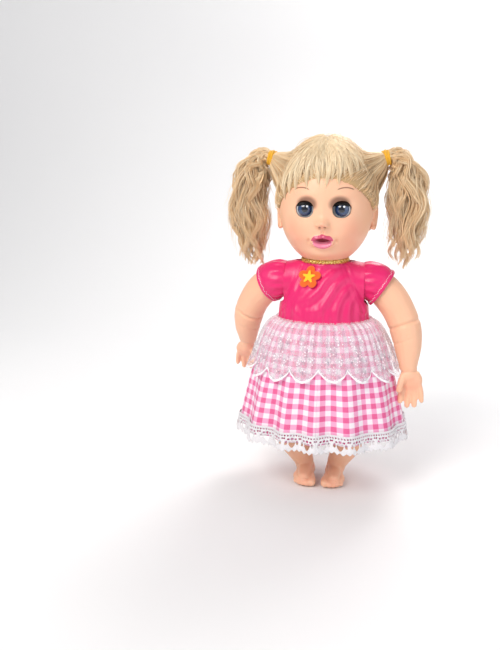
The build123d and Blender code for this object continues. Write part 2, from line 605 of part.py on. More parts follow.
speaker = Plane(origin=(0, SPEAKER_FACE, SPEAKER_Z), x_dir=(1, 0, 0), z_dir=(0, 1, 0))
with BuildPart() as speaker_basket:
    with BuildSketch(speaker):
        Circle(SPEAKER_R)
    extrude(amount=2)
    with BuildSketch(speaker.offset(2)):
        Circle(SPEAKER_R - 1)
    with BuildSketch(speaker.offset(6)):
        Circle(SPEAKER_R - 5)
    loft()
    with BuildSketch(speaker):
        Circle(SPEAKER_R - 1.8)
    with BuildSketch(speaker.offset(4.9)):
        Circle(SPEAKER_R - 6.2)
    loft(mode=Mode.SUBTRACT)
keep_part(speaker_basket.part, "speaker_basket")

with BuildPart() as speaker_cone:
    with BuildSketch(speaker.offset(0.3)):
        Circle(SPEAKER_R - 2.3)
    with BuildSketch(speaker.offset(3.4)):
        Circle(SPEAKER_R - 9)
    loft()
    with BuildSketch(speaker.offset(0.3)):
        Circle(SPEAKER_R - 2.9)
    with BuildSketch(speaker.offset(2.9)):
        Circle(SPEAKER_R - 9.4)
    loft(mode=Mode.SUBTRACT)
    add(rod((0, SPEAKER_FACE + 3.0, SPEAKER_Z), (0, SPEAKER_FACE + 4.9, SPEAKER_Z), SPEAKER_R - 9.5))
keep_part(speaker_cone.part, "speaker_cone")

with BuildPart() as speaker_magnet:
    add(rod((0, SPEAKER_FACE + 6, SPEAKER_Z), (0, SPEAKER_FACE + 10.5, SPEAKER_Z), 8))
keep_part(speaker_magnet.part, "speaker_magnet")

with BuildPart() as body_screws:
    for x, z in POSTS:
        add(rod((x, 12, z), (x, -8, z), SCREW_R))
        add(rod((x, 13.6, z), (x, 12, z), SCREW_HEAD_R))
        add(block((x - 1.6, 13.0, z - 0.3), (x + 1.6, 14, z + 0.3)), mode=Mode.SUBTRACT)
        add(block((x - 0.3, 13.0, z - 1.6), (x + 0.3, 14, z + 1.6)), mode=Mode.SUBTRACT)
keep_part(body_screws.part, "body_screws")

# ---------------------------------------------------------------- sound button
BUTTON_FACE = -(TORSO_HALF_DEPTH - 0.3)
LIP_FRONT = -(TORSO_HALF_DEPTH - TORSO_WALL - 3.6)
LIP_BACK = LIP_FRONT + 1.5
STEM_END = BOARD_Y - 1.6 - BUTTON_TRAVEL - 0.1
with BuildPart() as sound_button:
    add(rod((0, BUTTON_FACE, BUTTON_Z), (0, LIP_BACK, BUTTON_Z), BUTTON_R))
    fillet(sound_button.faces().sort_by(Axis.Y)[0].edges(), 0.8)
    add(rod((0, LIP_FRONT, BUTTON_Z), (0, LIP_BACK, BUTTON_Z), BUTTON_R + BUTTON_LIP))
    add(rod((0, LIP_BACK, BUTTON_Z), (0, STEM_END, BUTTON_Z), 2.5))
keep_part(sound_button.part, "sound_button")

SPRING_START = LIP_BACK + SPRING_WIRE
SPRING_END = BOARD_Y - 0.6 - SPRING_WIRE
with BuildPart() as button_spring:
    with BuildLine() as coil:
        Helix(pitch=(SPRING_END - SPRING_START) / 5, height=SPRING_END - SPRING_START, radius=SPRING_R,
              center=(0, SPRING_START, BUTTON_Z), direction=(0, 1, 0))
    with BuildSketch(Plane(origin=coil.line @ 0, z_dir=coil.line % 0)):
        Circle(SPRING_WIRE / 2)
    sweep(path=coil.line)
    for y in (SPRING_START, SPRING_END):
        with Locations(Plane(origin=(0, y, BUTTON_Z), z_dir=(0, 1, 0))):
            Torus(SPRING_R, SPRING_WIRE / 2)
keep_part(button_spring.part, "button_spring")

# ---------------------------------------------------------------- power switch and leads
with BuildPart() as power_switch_body:
    add(block((-SWITCH[0] / 2, SWITCH_FACE - SWITCH[1], SWITCH_Z - SWITCH[2] / 2),
              (SWITCH[0] / 2, SWITCH_FACE, SWITCH_Z + SWITCH[2] / 2)))
    add(block((-KNOB_TRAVEL / 2 - KNOB[0] / 2 - 0.3, SWITCH_FACE - 1.2, SWITCH_Z - KNOB[2] / 2 - 0.3),
              (KNOB_TRAVEL / 2 + KNOB[0] / 2 + 0.3, SWITCH_FACE, SWITCH_Z + KNOB[2] / 2 + 0.3)), mode=Mode.SUBTRACT)
keep_part(power_switch_body.part, "power_switch_body")

with BuildPart() as power_switch_knob:
    x = -KNOB_TRAVEL / 2 - KNOB[0] / 2
    add(block((x, SWITCH_FACE - 1.0, SWITCH_Z - KNOB[2] / 2), (x + KNOB[0], SWITCH_FACE - 1.0 + KNOB[1], SWITCH_Z + KNOB[2] / 2)))
    for step in (0.7, 1.6):
        add(block((x + step, SWITCH_FACE - 1.4 + KNOB[1], SWITCH_Z - 2), (x + step + 0.5, DEEP, SWITCH_Z + 2)),
            mode=Mode.SUBTRACT)
keep_part(power_switch_knob.part, "power_switch_knob")


def lead(points, radius=0.6):
    """One insulated wire through these points."""
    with BuildPart() as wire:
        with BuildLine() as path:
            Spline(*points)
        with BuildSketch(Plane(origin=path.line @ 0, z_dir=path.line % 0)):
            Circle(radius)
        sweep(path=path.line)
    return wire.part


board_top = BUTTON_Z + BOARD[2] / 2
with BuildPart() as speaker_leads:
    for side in (-1, 1):
        add(lead([(side * 4, SPEAKER_FACE + 10.2, SPEAKER_Z - 4), (side * 5, SPEAKER_FACE + 13, SPEAKER_Z - 9),
                  (side * 6, BOARD_Y + BOARD[1] + 1.8, board_top - 1), (side * 6, BOARD_Y + BOARD[1] - 0.3, board_top - 4)]))
    add(speaker_magnet.part, mode=Mode.SUBTRACT)
    add(circuit_board.part, mode=Mode.SUBTRACT)
keep_part(speaker_leads.part, "speaker_leads")

bay_front = CELL_Y - CELL_R - 1.8
with BuildPart() as battery_leads:
    for side in (-1, 1):
        add(lead([(side * 9, bay_front + 0.3, BAY_Z - 2), (side * 9.4, bay_front - 3, BAY_Z - 5),
                  (side * 10, BOARD_Y + BOARD[1] + 3, BUTTON_Z + 7), (side * 10, BOARD_Y + BOARD[1] - 0.3, BUTTON_Z + 5)]))
    add(torso_back.part, mode=Mode.SUBTRACT)
    add(circuit_board.part, mode=Mode.SUBTRACT)
keep_part(battery_leads.part, "battery_leads")


# ---------------------------------------------------------------- limbs
def peg(face, outer, axis_y, axis_z, side):
    """The hard spool a limb turns on: flange, journal, flange."""
    in_wall = outer - TORSO_WALL
    start = in_wall - 0.4 - PEG_FLANGE_THICK
    end = face + LIMB_WALL
    with BuildPart() as spool:
        add(rod((side * start, axis_y, axis_z), (side * (start + PEG_FLANGE_THICK), axis_y, axis_z),
                PEG_R + PEG_FLANGE))
        add(rod((side * start, axis_y, axis_z), (side * (end + PEG_FLANGE_THICK), axis_y, axis_z), PEG_R))
        add(rod((side * end, axis_y, axis_z), (side * (end + PEG_FLANGE_THICK), axis_y, axis_z), PEG_R + PEG_FLANGE))
    return spool.part


def arm_stations(side):
    def at(x, y, z):
        return (side * (ARM_FACE + x), SHOULDER_Y + y, SHOULDER_Z + z)

    return [
        (at(4.5, 0, 2), SHOULDER_R - 1.5, (0.8 * side, 0, -0.6)),
        (at(11.5, 0, -3), SHOULDER_R + 0.4, (0.76 * side, 0, -0.65)),
        (at(21.8, -0.5, -13), SHOULDER_R + 0.8, (0.7 * side, 0, -0.75)),
        (at(30.3, -2, -26), SHOULDER_R + 0.3, (0.45 * side, -0.05, -0.9)),
        (at(36.0, -4, -40), SHOULDER_R + 0.0, (0.3 * side, -0.12, -1)),
        (at(38.6, -6, -54), SHOULDER_R - 1.8, (0.2 * side, -0.15, -1)),
        (at(39.2, -8, -66), SHOULDER_R - 4.6, (0.12 * side, -0.15, -1)),
        (at(40.0, -9, -74.5), SHOULDER_R - 6.6, (0.15 * side, -0.1, -1)),
    ]


def on_arm(x, y, z):
    """A point on the right arm, measured out from its flat face at the shoulder axis."""
    return (-(ARM_FACE + x), SHOULDER_Y + y, SHOULDER_Z + z)


FINGERS = ((-6.2, -90, -101), (-1.8, -92, -104.5), (2.8, -92, -104), (7.2, -89, -99.5))
beyond = Plane(origin=(-ARM_FACE, 0, 0), z_dir=(-1, 0, 0))
arm_sections = arm_stations(-1)
with BuildPart() as arm_hollow:
    add(tapered(arm_sections, -LIMB_WALL))
    with Locations(on_arm(0, 0, 0)):
        Sphere(SHOULDER_R - LIMB_WALL)
    split(bisect_by=beyond.offset(LIMB_WALL), keep=Keep.TOP)
with BuildPart() as arm:
    add(tapered(arm_sections))
    with Locations(on_arm(0, 0, 0)):
        Sphere(SHOULDER_R)
    add(ellipsoid(on_arm(43.0, -10, -84), 10.4, 5.8, 11.5))
    for x, root, tip in FINGERS:
        add(digit(on_arm(43 + x, -10.5, root), on_arm(43 + 1.15 * x, -13, tip), 2.7, 2.2))
    add(digit(on_arm(36.5, -12, -82), on_arm(34.5, -18, -90.5), 3.0, 2.4))
    split(bisect_by=beyond, keep=Keep.TOP)
    add(arm_hollow.part, mode=Mode.SUBTRACT)
    add(rod(on_arm(-5, 0, 0), on_arm(LIMB_WALL + 1, 0, 0), PEG_R), mode=Mode.SUBTRACT)
keep_pair(arm.part, "arm", RIGHT_ARM_BACK)
keep_pair(peg(ARM_FACE, SHOULDER_HALF_SPAN, SHOULDER_Y, SHOULDER_Z, -1), "shoulder_plug", RIGHT_ARM_BACK)

# The cap sleeve hangs on the arm from an armhole seam down to a slanted hem.
with BuildPart() as sleeve:
    add(tapered(arm_sections, 2 * CLOTH))
    with Locations(on_arm(0, 0, 0)):
        Sphere(SHOULDER_R + 2 * CLOTH)
    add(tapered(arm_sections), mode=Mode.SUBTRACT)
    with Locations(on_arm(0, 0, 0)):
        Sphere(SHOULDER_R, mode=Mode.SUBTRACT)
    split(bisect_by=beyond.offset(0.1), keep=Keep.TOP)
    split(bisect_by=Plane(origin=on_arm(22, 0, 4), z_dir=(-0.83, 0, -0.56)), keep=Keep.BOTTOM)
keep_pair(sleeve.part, "sleeve", RIGHT_ARM_BACK)

LEG_SECTIONS = [
    ((-27, -1, HIP_Z - 7), HIP_R - 0.2, (-0.02, -0.08, -1)),
    ((-28, -3, HIP_Z - 21), HIP_R - 0.9, (-0.06, -0.12, -1)),
    ((-29, -5, HIP_Z - 35), HIP_R - 2.5, (-0.06, -0.12, -1)),
    ((-29, -6.5, HIP_Z - 49), HIP_R - 3.7, (0.05, 0, -1)),
    ((-26, -6, HIP_Z - 61), HIP_R - 4.8, (0.3, 0.1, -1)),
    ((-20.5, -3.5, HIP_Z - 73), HIP_R - 7.2, (0.45, 0.2, -1)),
    ((-15.8, -1, HIP_Z - 84), HIP_R - 9.3, (0.3, 0.1, -1)),
    ((-14, 0, HIP_Z - 93), HIP_R - 10.0, (0, 0, -1)),
]
hip = (-LEG_FACE, 0, HIP_Z)
thigh_ball = (-LEG_FACE - 3.3, 0, HIP_Z)
lap_z = HIP_Z - PELVIS_R - 0.8  # the lap is relieved here, so the leg clears the belly when the doll sits
with BuildPart() as leg_hollow:
    add(tapered(LEG_SECTIONS, -LIMB_WALL))
    with Locations(thigh_ball):
        Sphere(HIP_R - LIMB_WALL)
    add(rod((1, 0, HIP_Z), (-LEG_FACE - LIMB_WALL, 0, HIP_Z), PELVIS_R + 1.2 + LIMB_WALL), mode=Mode.SUBTRACT)
    add(block((-LEG_FACE - LIMB_WALL, -60, lap_z - LIMB_WALL), (1, LIMB_WALL, HIP_Z + 40)), mode=Mode.SUBTRACT)
    split(bisect_by=Plane.XY.offset(LIMB_WALL + 6), keep=Keep.TOP)
with BuildPart() as leg:
    add(tapered(LEG_SECTIONS))
    with Locations(thigh_ball):
        Sphere(HIP_R)
    add(ellipsoid((-13, -8, 8), 10.6, 19, 9))
    for toe in range(5):
        x = -6.2 - 3.6 * toe
        y = -26.5 + 0.42 * toe * toe
        add(digit((x, y + 6, 4.4), (x, y, 4.0), 3.4 - 0.2 * toe, 3.3 - 0.25 * toe))
    add(rod((30, 0, HIP_Z), hip, PELVIS_R + 1.2), mode=Mode.SUBTRACT)
    add(block((-LEG_FACE, -60, lap_z), (30, 0, HIP_Z + 40)), mode=Mode.SUBTRACT)
    split(bisect_by=Plane.XY, keep=Keep.TOP)
    add(leg_hollow.part, mode=Mode.SUBTRACT)
    add(rod(hip, (-LEG_FACE - LIMB_WALL - 1, 0, HIP_Z), PEG_R), mode=Mode.SUBTRACT)
keep_pair(leg.part, "leg")
keep_pair(peg(LEG_FACE, PELVIS_HALF_WIDTH, 0, HIP_Z, -1), "hip_plug")

# ---------------------------------------------------------------- dress
with BuildPart() as bodice:
    add(clothes_outer)
    add(clothes_inner, mode=Mode.SUBTRACT)
    split(bisect_by=Plane.XY.offset(WAIST_Z - 3), keep=Keep.TOP)
    split(bisect_by=Plane.XY.offset(TORSO_TOP - 0.4), keep=Keep.BOTTOM)
    for side in (-1, 1):
        add(rod((side * (SHOULDER_HALF_SPAN - 1.2), SHOULDER_Y, SHOULDER_Z),
                (side * 3 * SHOULDER_HALF_SPAN, SHOULDER_Y, SHOULDER_Z), SHOULDER_R + CLOTH_GAP), mode=Mode.SUBTRACT)
keep_part(bodice.part, "bodice")

FLARE_HEIGHTS = [SKIRT_TOP - share * (SKIRT_TOP - SKIRT_HEM_Z) for share in (0, 0.06, 0.2, 0.45, 0.75, 1.12)]


def flare(grow):
    """The skirt's flared outside, grown or shrunk."""
    with BuildPart() as bell:
        for height in FLARE_HEIGHTS:
            share = ((SKIRT_TOP - height) / (SKIRT_TOP - SKIRT_HEM_Z)) ** 0.62
            half_width = WAIST_HALF_WIDTH + HEM_FLARE * share + grow
            half_depth = WAIST_HALF_DEPTH + 0.85 * HEM_FLARE * share + grow
            with BuildSketch(Plane.XY.offset(height)):
                Ellipse(half_width, half_depth)
        loft()
    return bell.part


skirt_face = flare(0)
lace_face = flare(CLOTH)
with BuildPart() as skirt:
    add(slice_z(skirt_face, SKIRT_HEM_Z, SKIRT_TOP))
    add(slice_z(flare(-CLOTH), SKIRT_HEM_Z, WAIST_Z), mode=Mode.SUBTRACT)
    add(clothes_outer, mode=Mode.SUBTRACT)
keep_part(skirt.part, "skirt")

with BuildPart() as lace_overlay:
    add(slice_z(lace_face, LACE_LOW, SKIRT_TOP))
    with BuildSketch(Plane.XY.offset(SKIRT_TOP)):
        Ellipse(WAIST_HALF_WIDTH + CLOTH, WAIST_HALF_DEPTH + CLOTH)
    extrude(amount=CLOTH)
    add(slice_z(skirt_face, SKIRT_HEM_Z, SKIRT_TOP), mode=Mode.SUBTRACT)
    add(clothes_outer, mode=Mode.SUBTRACT)
    for step in range(LACE_SCALLOPS):
        turn = 2 * pi * (step + 0.5) / LACE_SCALLOPS
        far = (3 * WAIST_HALF_WIDTH * cos(turn), 3 * WAIST_HALF_WIDTH * sin(turn), LACE_LOW - 1)
        add(rod((0, 0, LACE_LOW - 1), far, 5), mode=Mode.SUBTRACT)
keep_part(lace_overlay.part, "lace_overlay")

with BuildPart() as hem_lace:
    add(slice_z(lace_face, SKIRT_HEM_Z - TRIM_DROP, SKIRT_HEM_Z + TRIM_LAP))
    add(skirt_face, mode=Mode.SUBTRACT)
    for step in range(TRIM_POINTS):
        turn = 2 * pi * (step + 0.5) / TRIM_POINTS
        low = SKIRT_HEM_Z - TRIM_DROP - 1.5
        far = (3 * WAIST_HALF_WIDTH * cos(turn), 3 * WAIST_HALF_WIDTH * sin(turn), low)
        add(rod((0, 0, low), far, 4.2), mode=Mode.SUBTRACT)
keep_part(hem_lace.part, "hem_lace")

# A felt flower with a star on the chest, lying on the bodice.
cloth_half = [TORSO_HALF_WIDTH + CLOTH_GAP + CLOTH, TORSO_HALF_DEPTH + CLOTH_GAP + CLOTH, TORSO_UP + CLOTH_GAP + CLOTH]
flower_x = -11.0
flower_z = TORSO_TOP - 12.5
flower_y = -cloth_half[1] * sqrt(1 - (flower_x / cloth_half[0]) ** 2 - ((flower_z - TORSO_Z) / cloth_half[2]) ** 2)
flower_out = Vector(flower_x / cloth_half[0] ** 2, flower_y / cloth_half[1] ** 2, (flower_z - TORSO_Z) / cloth_half[2] ** 2)
flower = Plane(origin=(flower_x, flower_y, flower_z), x_dir=(1, 0, flower_out.X / -flower_out.Z), z_dir=flower_out)
with BuildPart() as flower_petals:
    with BuildSketch(flower.offset(-2.5)):
        with PolarLocations(1.36 * PETAL_R, PETALS, start_angle=90):
            Circle(PETAL_R)
        Circle(PETAL_R)
    extrude(amount=4.5)
    add(clothes_outer, mode=Mode.SUBTRACT)
keep_part(flower_petals.part, "flower_petals")

with BuildPart() as flower_star:
    with BuildSketch(flower.offset(2.0)):
        star_points = []
        for corner in range(10):
            reach = 1.2 * PETAL_R if corner % 2 == 0 else 0.6 * PETAL_R
            turn = pi / 2 + corner * pi / 5
            star_points.append((reach * cos(turn), reach * sin(turn)))
        Polygon(*star_points)
    extrude(amount=1.4)
keep_part(flower_star.part, "flower_star")

with BuildPart() as neck_band:
    band_reach = COLLAR_R + CLOTH_GAP + CLOTH
    with Locations((0, NECK_Y, TORSO_TOP + 0.4)):
        Torus(band_reach, NECK_BAND_R)
    add(bodice.part, mode=Mode.SUBTRACT)
keep_part(neck_band.part, "neck_band")

with BuildPart() as back_closure:
    add(trunk(CLOTH_GAP + 2 * CLOTH))
    add(clothes_outer, mode=Mode.SUBTRACT)
    add(block((-5, 0, WAIST_Z + 4), (5, DEEP, TORSO_TOP - 4)), mode=Mode.INTERSECT)
keep_part(back_closure.part, "back_closure")
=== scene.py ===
"""Talking baby doll with pigtails and a gingham dress: the looks, built round the fixed frame."""
import json
import math
import random

import bmesh
import bpy
import numpy as np
from bpy.props import FloatProperty, FloatVectorProperty, IntProperty, PointerProperty
from bpy.types import Operator, Panel, PropertyGroup
from mathutils import Matrix, Vector


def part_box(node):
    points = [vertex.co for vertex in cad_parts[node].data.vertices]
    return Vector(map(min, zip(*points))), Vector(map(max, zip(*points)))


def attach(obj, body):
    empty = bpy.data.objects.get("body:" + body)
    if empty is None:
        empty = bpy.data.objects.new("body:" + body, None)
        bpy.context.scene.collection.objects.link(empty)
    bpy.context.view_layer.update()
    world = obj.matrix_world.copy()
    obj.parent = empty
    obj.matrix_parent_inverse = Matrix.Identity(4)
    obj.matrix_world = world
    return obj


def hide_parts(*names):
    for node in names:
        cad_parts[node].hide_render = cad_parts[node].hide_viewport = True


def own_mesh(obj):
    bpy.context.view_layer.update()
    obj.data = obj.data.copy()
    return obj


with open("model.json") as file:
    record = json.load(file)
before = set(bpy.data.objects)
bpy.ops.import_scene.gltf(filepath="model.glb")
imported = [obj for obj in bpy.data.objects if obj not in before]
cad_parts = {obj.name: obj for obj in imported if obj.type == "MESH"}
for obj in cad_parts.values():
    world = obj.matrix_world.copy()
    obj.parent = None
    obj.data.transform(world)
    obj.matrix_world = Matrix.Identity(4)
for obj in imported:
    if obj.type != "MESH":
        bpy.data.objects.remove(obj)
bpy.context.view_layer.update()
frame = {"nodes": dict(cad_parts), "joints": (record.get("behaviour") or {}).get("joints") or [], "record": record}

bl_info = {
    "name": "Baby Doll Maker",
    "version": (1, 0, 0),
    "blender": (4, 5, 0),
    "location": "View3D > Sidebar > Doll",
    "description": "Builds a talking baby doll with sleeping eyes, pigtails and a gathered dress",
    "category": "Add Mesh",
}

MM = 0.001


# ------------------------------------------------------------ places read from the frame
def box_mm(node):
    low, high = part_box(node)
    return np.array(low) / MM, np.array(high) / MM


JOINTS = {joint["name"]: joint for joint in frame["joints"]}
HEAD_LOW, HEAD_HIGH = box_mm("head_shell")
EQUATOR = HEAD_HIGH[2] - 56.0
RIM_Z = HEAD_LOW[2]
SKULL = np.array([0.0, 2.0, EQUATOR])
EYE_LOW, EYE_HIGH = box_mm("left_eyeball")
EYE_AT = np.array([(EYE_LOW[0] + EYE_HIGH[0]) / 2, EYE_HIGH[1] - 8.4, (EYE_LOW[2] + EYE_HIGH[2]) / 2])
SHOULDER = np.array(JOINTS["left_shoulder"]["pos_m"]) / MM
HIP = np.array(JOINTS["left_hip"]["pos_m"]) / MM
BAND_LOW, BAND_HIGH = box_mm("left_hair_band")
TIE = (BAND_LOW + BAND_HIGH) / 2
SKIRT_LOW, SKIRT_HIGH = box_mm("skirt")
HEM_LOW, HEM_HIGH = box_mm("hem_lace")
LACE_LOW, LACE_HIGH = box_mm("lace_overlay")
FLOWER_LOW, FLOWER_HIGH = box_mm("flower_petals")
NECK_LOW, NECK_HIGH = box_mm("neck_band")
TORSO_TOP = box_mm("torso_front")[1][2]
TRUNK = np.array([0.0, 0.0, TORSO_TOP - 56.4])


WAIST = SKIRT_HIGH[2] - 4.2  # where the gathered skirt is seen to start

# ------------------------------------------------------------ settings
def tint(name, words, default):
    return FloatVectorProperty(name=name, description=words, subtype="COLOR", size=3, min=0.0, max=1.0,
                               default=default)


def length(name, words, default):
    return FloatProperty(name=name, description=words, subtype="DISTANCE", unit="LENGTH", default=default, min=0.0)


class DOLL_PG_body(PropertyGroup):
    skin: tint("Skin", "Vinyl of the head and limbs", (0.90, 0.52, 0.34))
    blush: tint("Blush", "Sprayed colour on the cheeks, knees and knuckles", (0.90, 0.30, 0.20))
    lip_upper: tint("Upper lip", "Paint of the upper lip", (0.60, 0.08, 0.17))
    lip_lower: tint("Lower lip", "Paint of the lower lip", (0.86, 0.26, 0.38))
    mouth: tint("Mouth", "Paint inside the open mouth", (0.30, 0.01, 0.03))
    brow: tint("Brow", "Painted brows", (0.16, 0.05, 0.02))
    iris: tint("Iris", "Printed iris", (0.010, 0.026, 0.085))
    shadow: tint("Eye shadow", "Smoky spray over the eyes", (0.10, 0.025, 0.012))
    skin_voxel: length("Limb detail", "Voxel size of the limbs", 0.0008)


class DOLL_PG_hair(PropertyGroup):
    light: tint("Light strands", "Lightest strands", (1.0, 0.86, 0.62))
    dark: tint("Dark strands", "Darkest strands", (0.80, 0.47, 0.19))
    band: tint("Hair bands", "Elastic bands round the pigtails", (0.92, 0.48, 0.02))
    strand: length("Strand", "Radius of a hair strand", 0.00019)
    cap_strands: IntProperty(name="Crown strands", description="Strands from scalp to tie on each side",
                             default=1500, min=10)
    tail_strands: IntProperty(name="Pigtail strands", description="Strands in each pigtail", default=600, min=10)
    fringe_strands: IntProperty(name="Fringe strands", description="Strands over the forehead", default=620, min=10)


class DOLL_PG_dress(PropertyGroup):
    satin: tint("Satin", "Bodice and sleeves", (0.80, 0.018, 0.16))
    check_dark: tint("Check", "Full-colour checks", (0.76, 0.05, 0.24))
    check_mid: tint("Half check", "Checks where one stripe crosses white", (0.88, 0.36, 0.58))
    check_pale: tint("White check", "Checks of the ground cloth", (0.92, 0.86, 0.90))
    lace: tint("Lace", "Tulle, hem lace and stitches", (0.92, 0.89, 0.92))
    petal: tint("Petals", "Felt petals", (0.92, 0.13, 0.005))
    star: tint("Star", "Felt star on the flower", (0.98, 0.62, 0.01))
    gold: tint("Gold", "Sequins of the neck band", (0.85, 0.48, 0.05))
    check: length("Check repeat", "Width of one light and one dark check together", 0.010)
    cloth: length("Cloth", "Thickness of the cloth", 0.0006)


def body_set():
    return bpy.context.scene.doll_body


def hair_set():
    return bpy.context.scene.doll_hair


def dress_set():
    return bpy.context.scene.doll_dress


# ------------------------------------------------------------ node materials
class Finish:
    """A node material, built a line at a time."""

    def __init__(self, name, **shader):
        self.material = bpy.data.materials.new(name)
        self.material.use_nodes = True
        self.tree = self.material.node_tree
        self.shader = self.tree.nodes["Principled BSDF"]
        self.place = self.tree.nodes.new("ShaderNodeTexCoord")
        for key, value in shader.items():
            self.put(self.shader.inputs[key.replace("_", " ")], value)

    def put(self, socket, value):
        if isinstance(value, bpy.types.NodeSocket):
            self.tree.links.new(value, socket)
        elif hasattr(value, "__len__") and socket.type == "RGBA":
            socket.default_value = (*tuple(value)[:3], 1.0)
        elif hasattr(value, "__len__"):
            socket.default_value = tuple(value)
        else:
            socket.default_value = value

    def node(self, kind, output=0, settings=None, **inputs):
        made = self.tree.nodes.new(kind)
        for key, value in (settings or {}).items():
            setattr(made, key, value)
        for key, value in inputs.items():
            slot = int(key[1:]) if key[0] == "i" and key[1:].isdigit() else key.replace("_", " ")
            self.put(made.inputs[slot], value)
        return made.outputs[output]

    def sum(self, op, a, b=0.0, c=0.0, clamp=False):
        return self.node("ShaderNodeMath", settings={"operation": op, "use_clamp": clamp}, i0=a, i1=b, i2=c)

    def object_mm(self):
        """Object coordinates in millimetres, as x, y, z sockets and the vector."""
        scaled = self.node("ShaderNodeVectorMath", settings={"operation": "SCALE"}, i0=self.place.outputs["Object"],
                           Scale=1000.0)
        split = self.tree.nodes.new("ShaderNodeSeparateXYZ")
        self.tree.links.new(scaled, split.inputs[0])
        return split.outputs[0], split.outputs[1], split.outputs[2], scaled

    def uv(self):
        split = self.tree.nodes.new("ShaderNodeSeparateXYZ")
        self.tree.links.new(self.place.outputs["UV"], split.inputs[0])
        return split.outputs[0], split.outputs[1]

    def oval(self, x, z, cx, cz, rx, rz):
        """Distance from a centre, 1 on the oval's edge."""
        u = self.sum("DIVIDE", self.sum("SUBTRACT", x, cx), rx)
        v = self.sum("DIVIDE", self.sum("SUBTRACT", z, cz), rz)
        return self.sum("SQRT", self.sum("ADD", self.sum("MULTIPLY", u, u), self.sum("MULTIPLY", v, v)))

    def fade(self, value, start, end):
        """1 where value is below start, 0 above end, smooth between."""
        return self.node("ShaderNodeMapRange", settings={"interpolation_type": "SMOOTHSTEP"}, Value=value,
                         From_Min=start, From_Max=end, To_Min=1.0, To_Max=0.0)

    def blend(self, amount, a, b):
        made = self.tree.nodes.new("ShaderNodeMix")
        made.data_type = "RGBA"
        self.put(made.inputs[0], amount)
        self.put(made.inputs[6], a)
        self.put(made.inputs[7], b)
        return made.outputs[2]

    def noise(self, vector, scale, detail=3.0, rough=0.5):
        return self.node("ShaderNodeTexNoise", Vector=vector, Scale=scale, Detail=detail, Roughness=rough)

    def bump(self, height, strength, distance, onto=None):
        values = {"Height": height, "Strength": strength, "Distance": distance}
        if onto is not None:
            values["Normal"] = onto
        return self.node("ShaderNodeBump", **values)


def vinyl(name, blushes=()):
    """Soft matt vinyl with fine skin grain; blushes are (x, y, z, radius, strength)."""
    s = body_set()
    f = Finish(name, Roughness=0.46, Subsurface_Weight=0.12, Subsurface_Scale=0.004,
               Subsurface_Radius=(1.0, 0.35, 0.2), Coat_Weight=0.06, Coat_Roughness=0.35)
    x, y, z, place = f.object_mm()
    mottled = f.noise(place, 0.06, 3.0)
    colour = f.blend(f.sum("MULTIPLY", mottled, 0.22), s.skin, (s.skin[0] * 1.02, s.skin[1] * 0.84, s.skin[2] * 0.8))
    for bx, by, bz, radius, strength in blushes:
        away = f.node("ShaderNodeVectorMath", output=1, settings={"operation": "DISTANCE"}, i0=place,
                      i1=(bx, by, bz))
        colour = f.blend(f.sum("MULTIPLY", f.fade(away, 0.0, radius), strength), colour, s.blush)
    grain = f.noise(place, 2.4, 4.0)
    f.put(f.shader.inputs["Base Color"], colour)
    f.put(f.shader.inputs["Normal"], f.bump(grain, 0.09, 0.0004))
    return f, colour, (x, y, z, place)


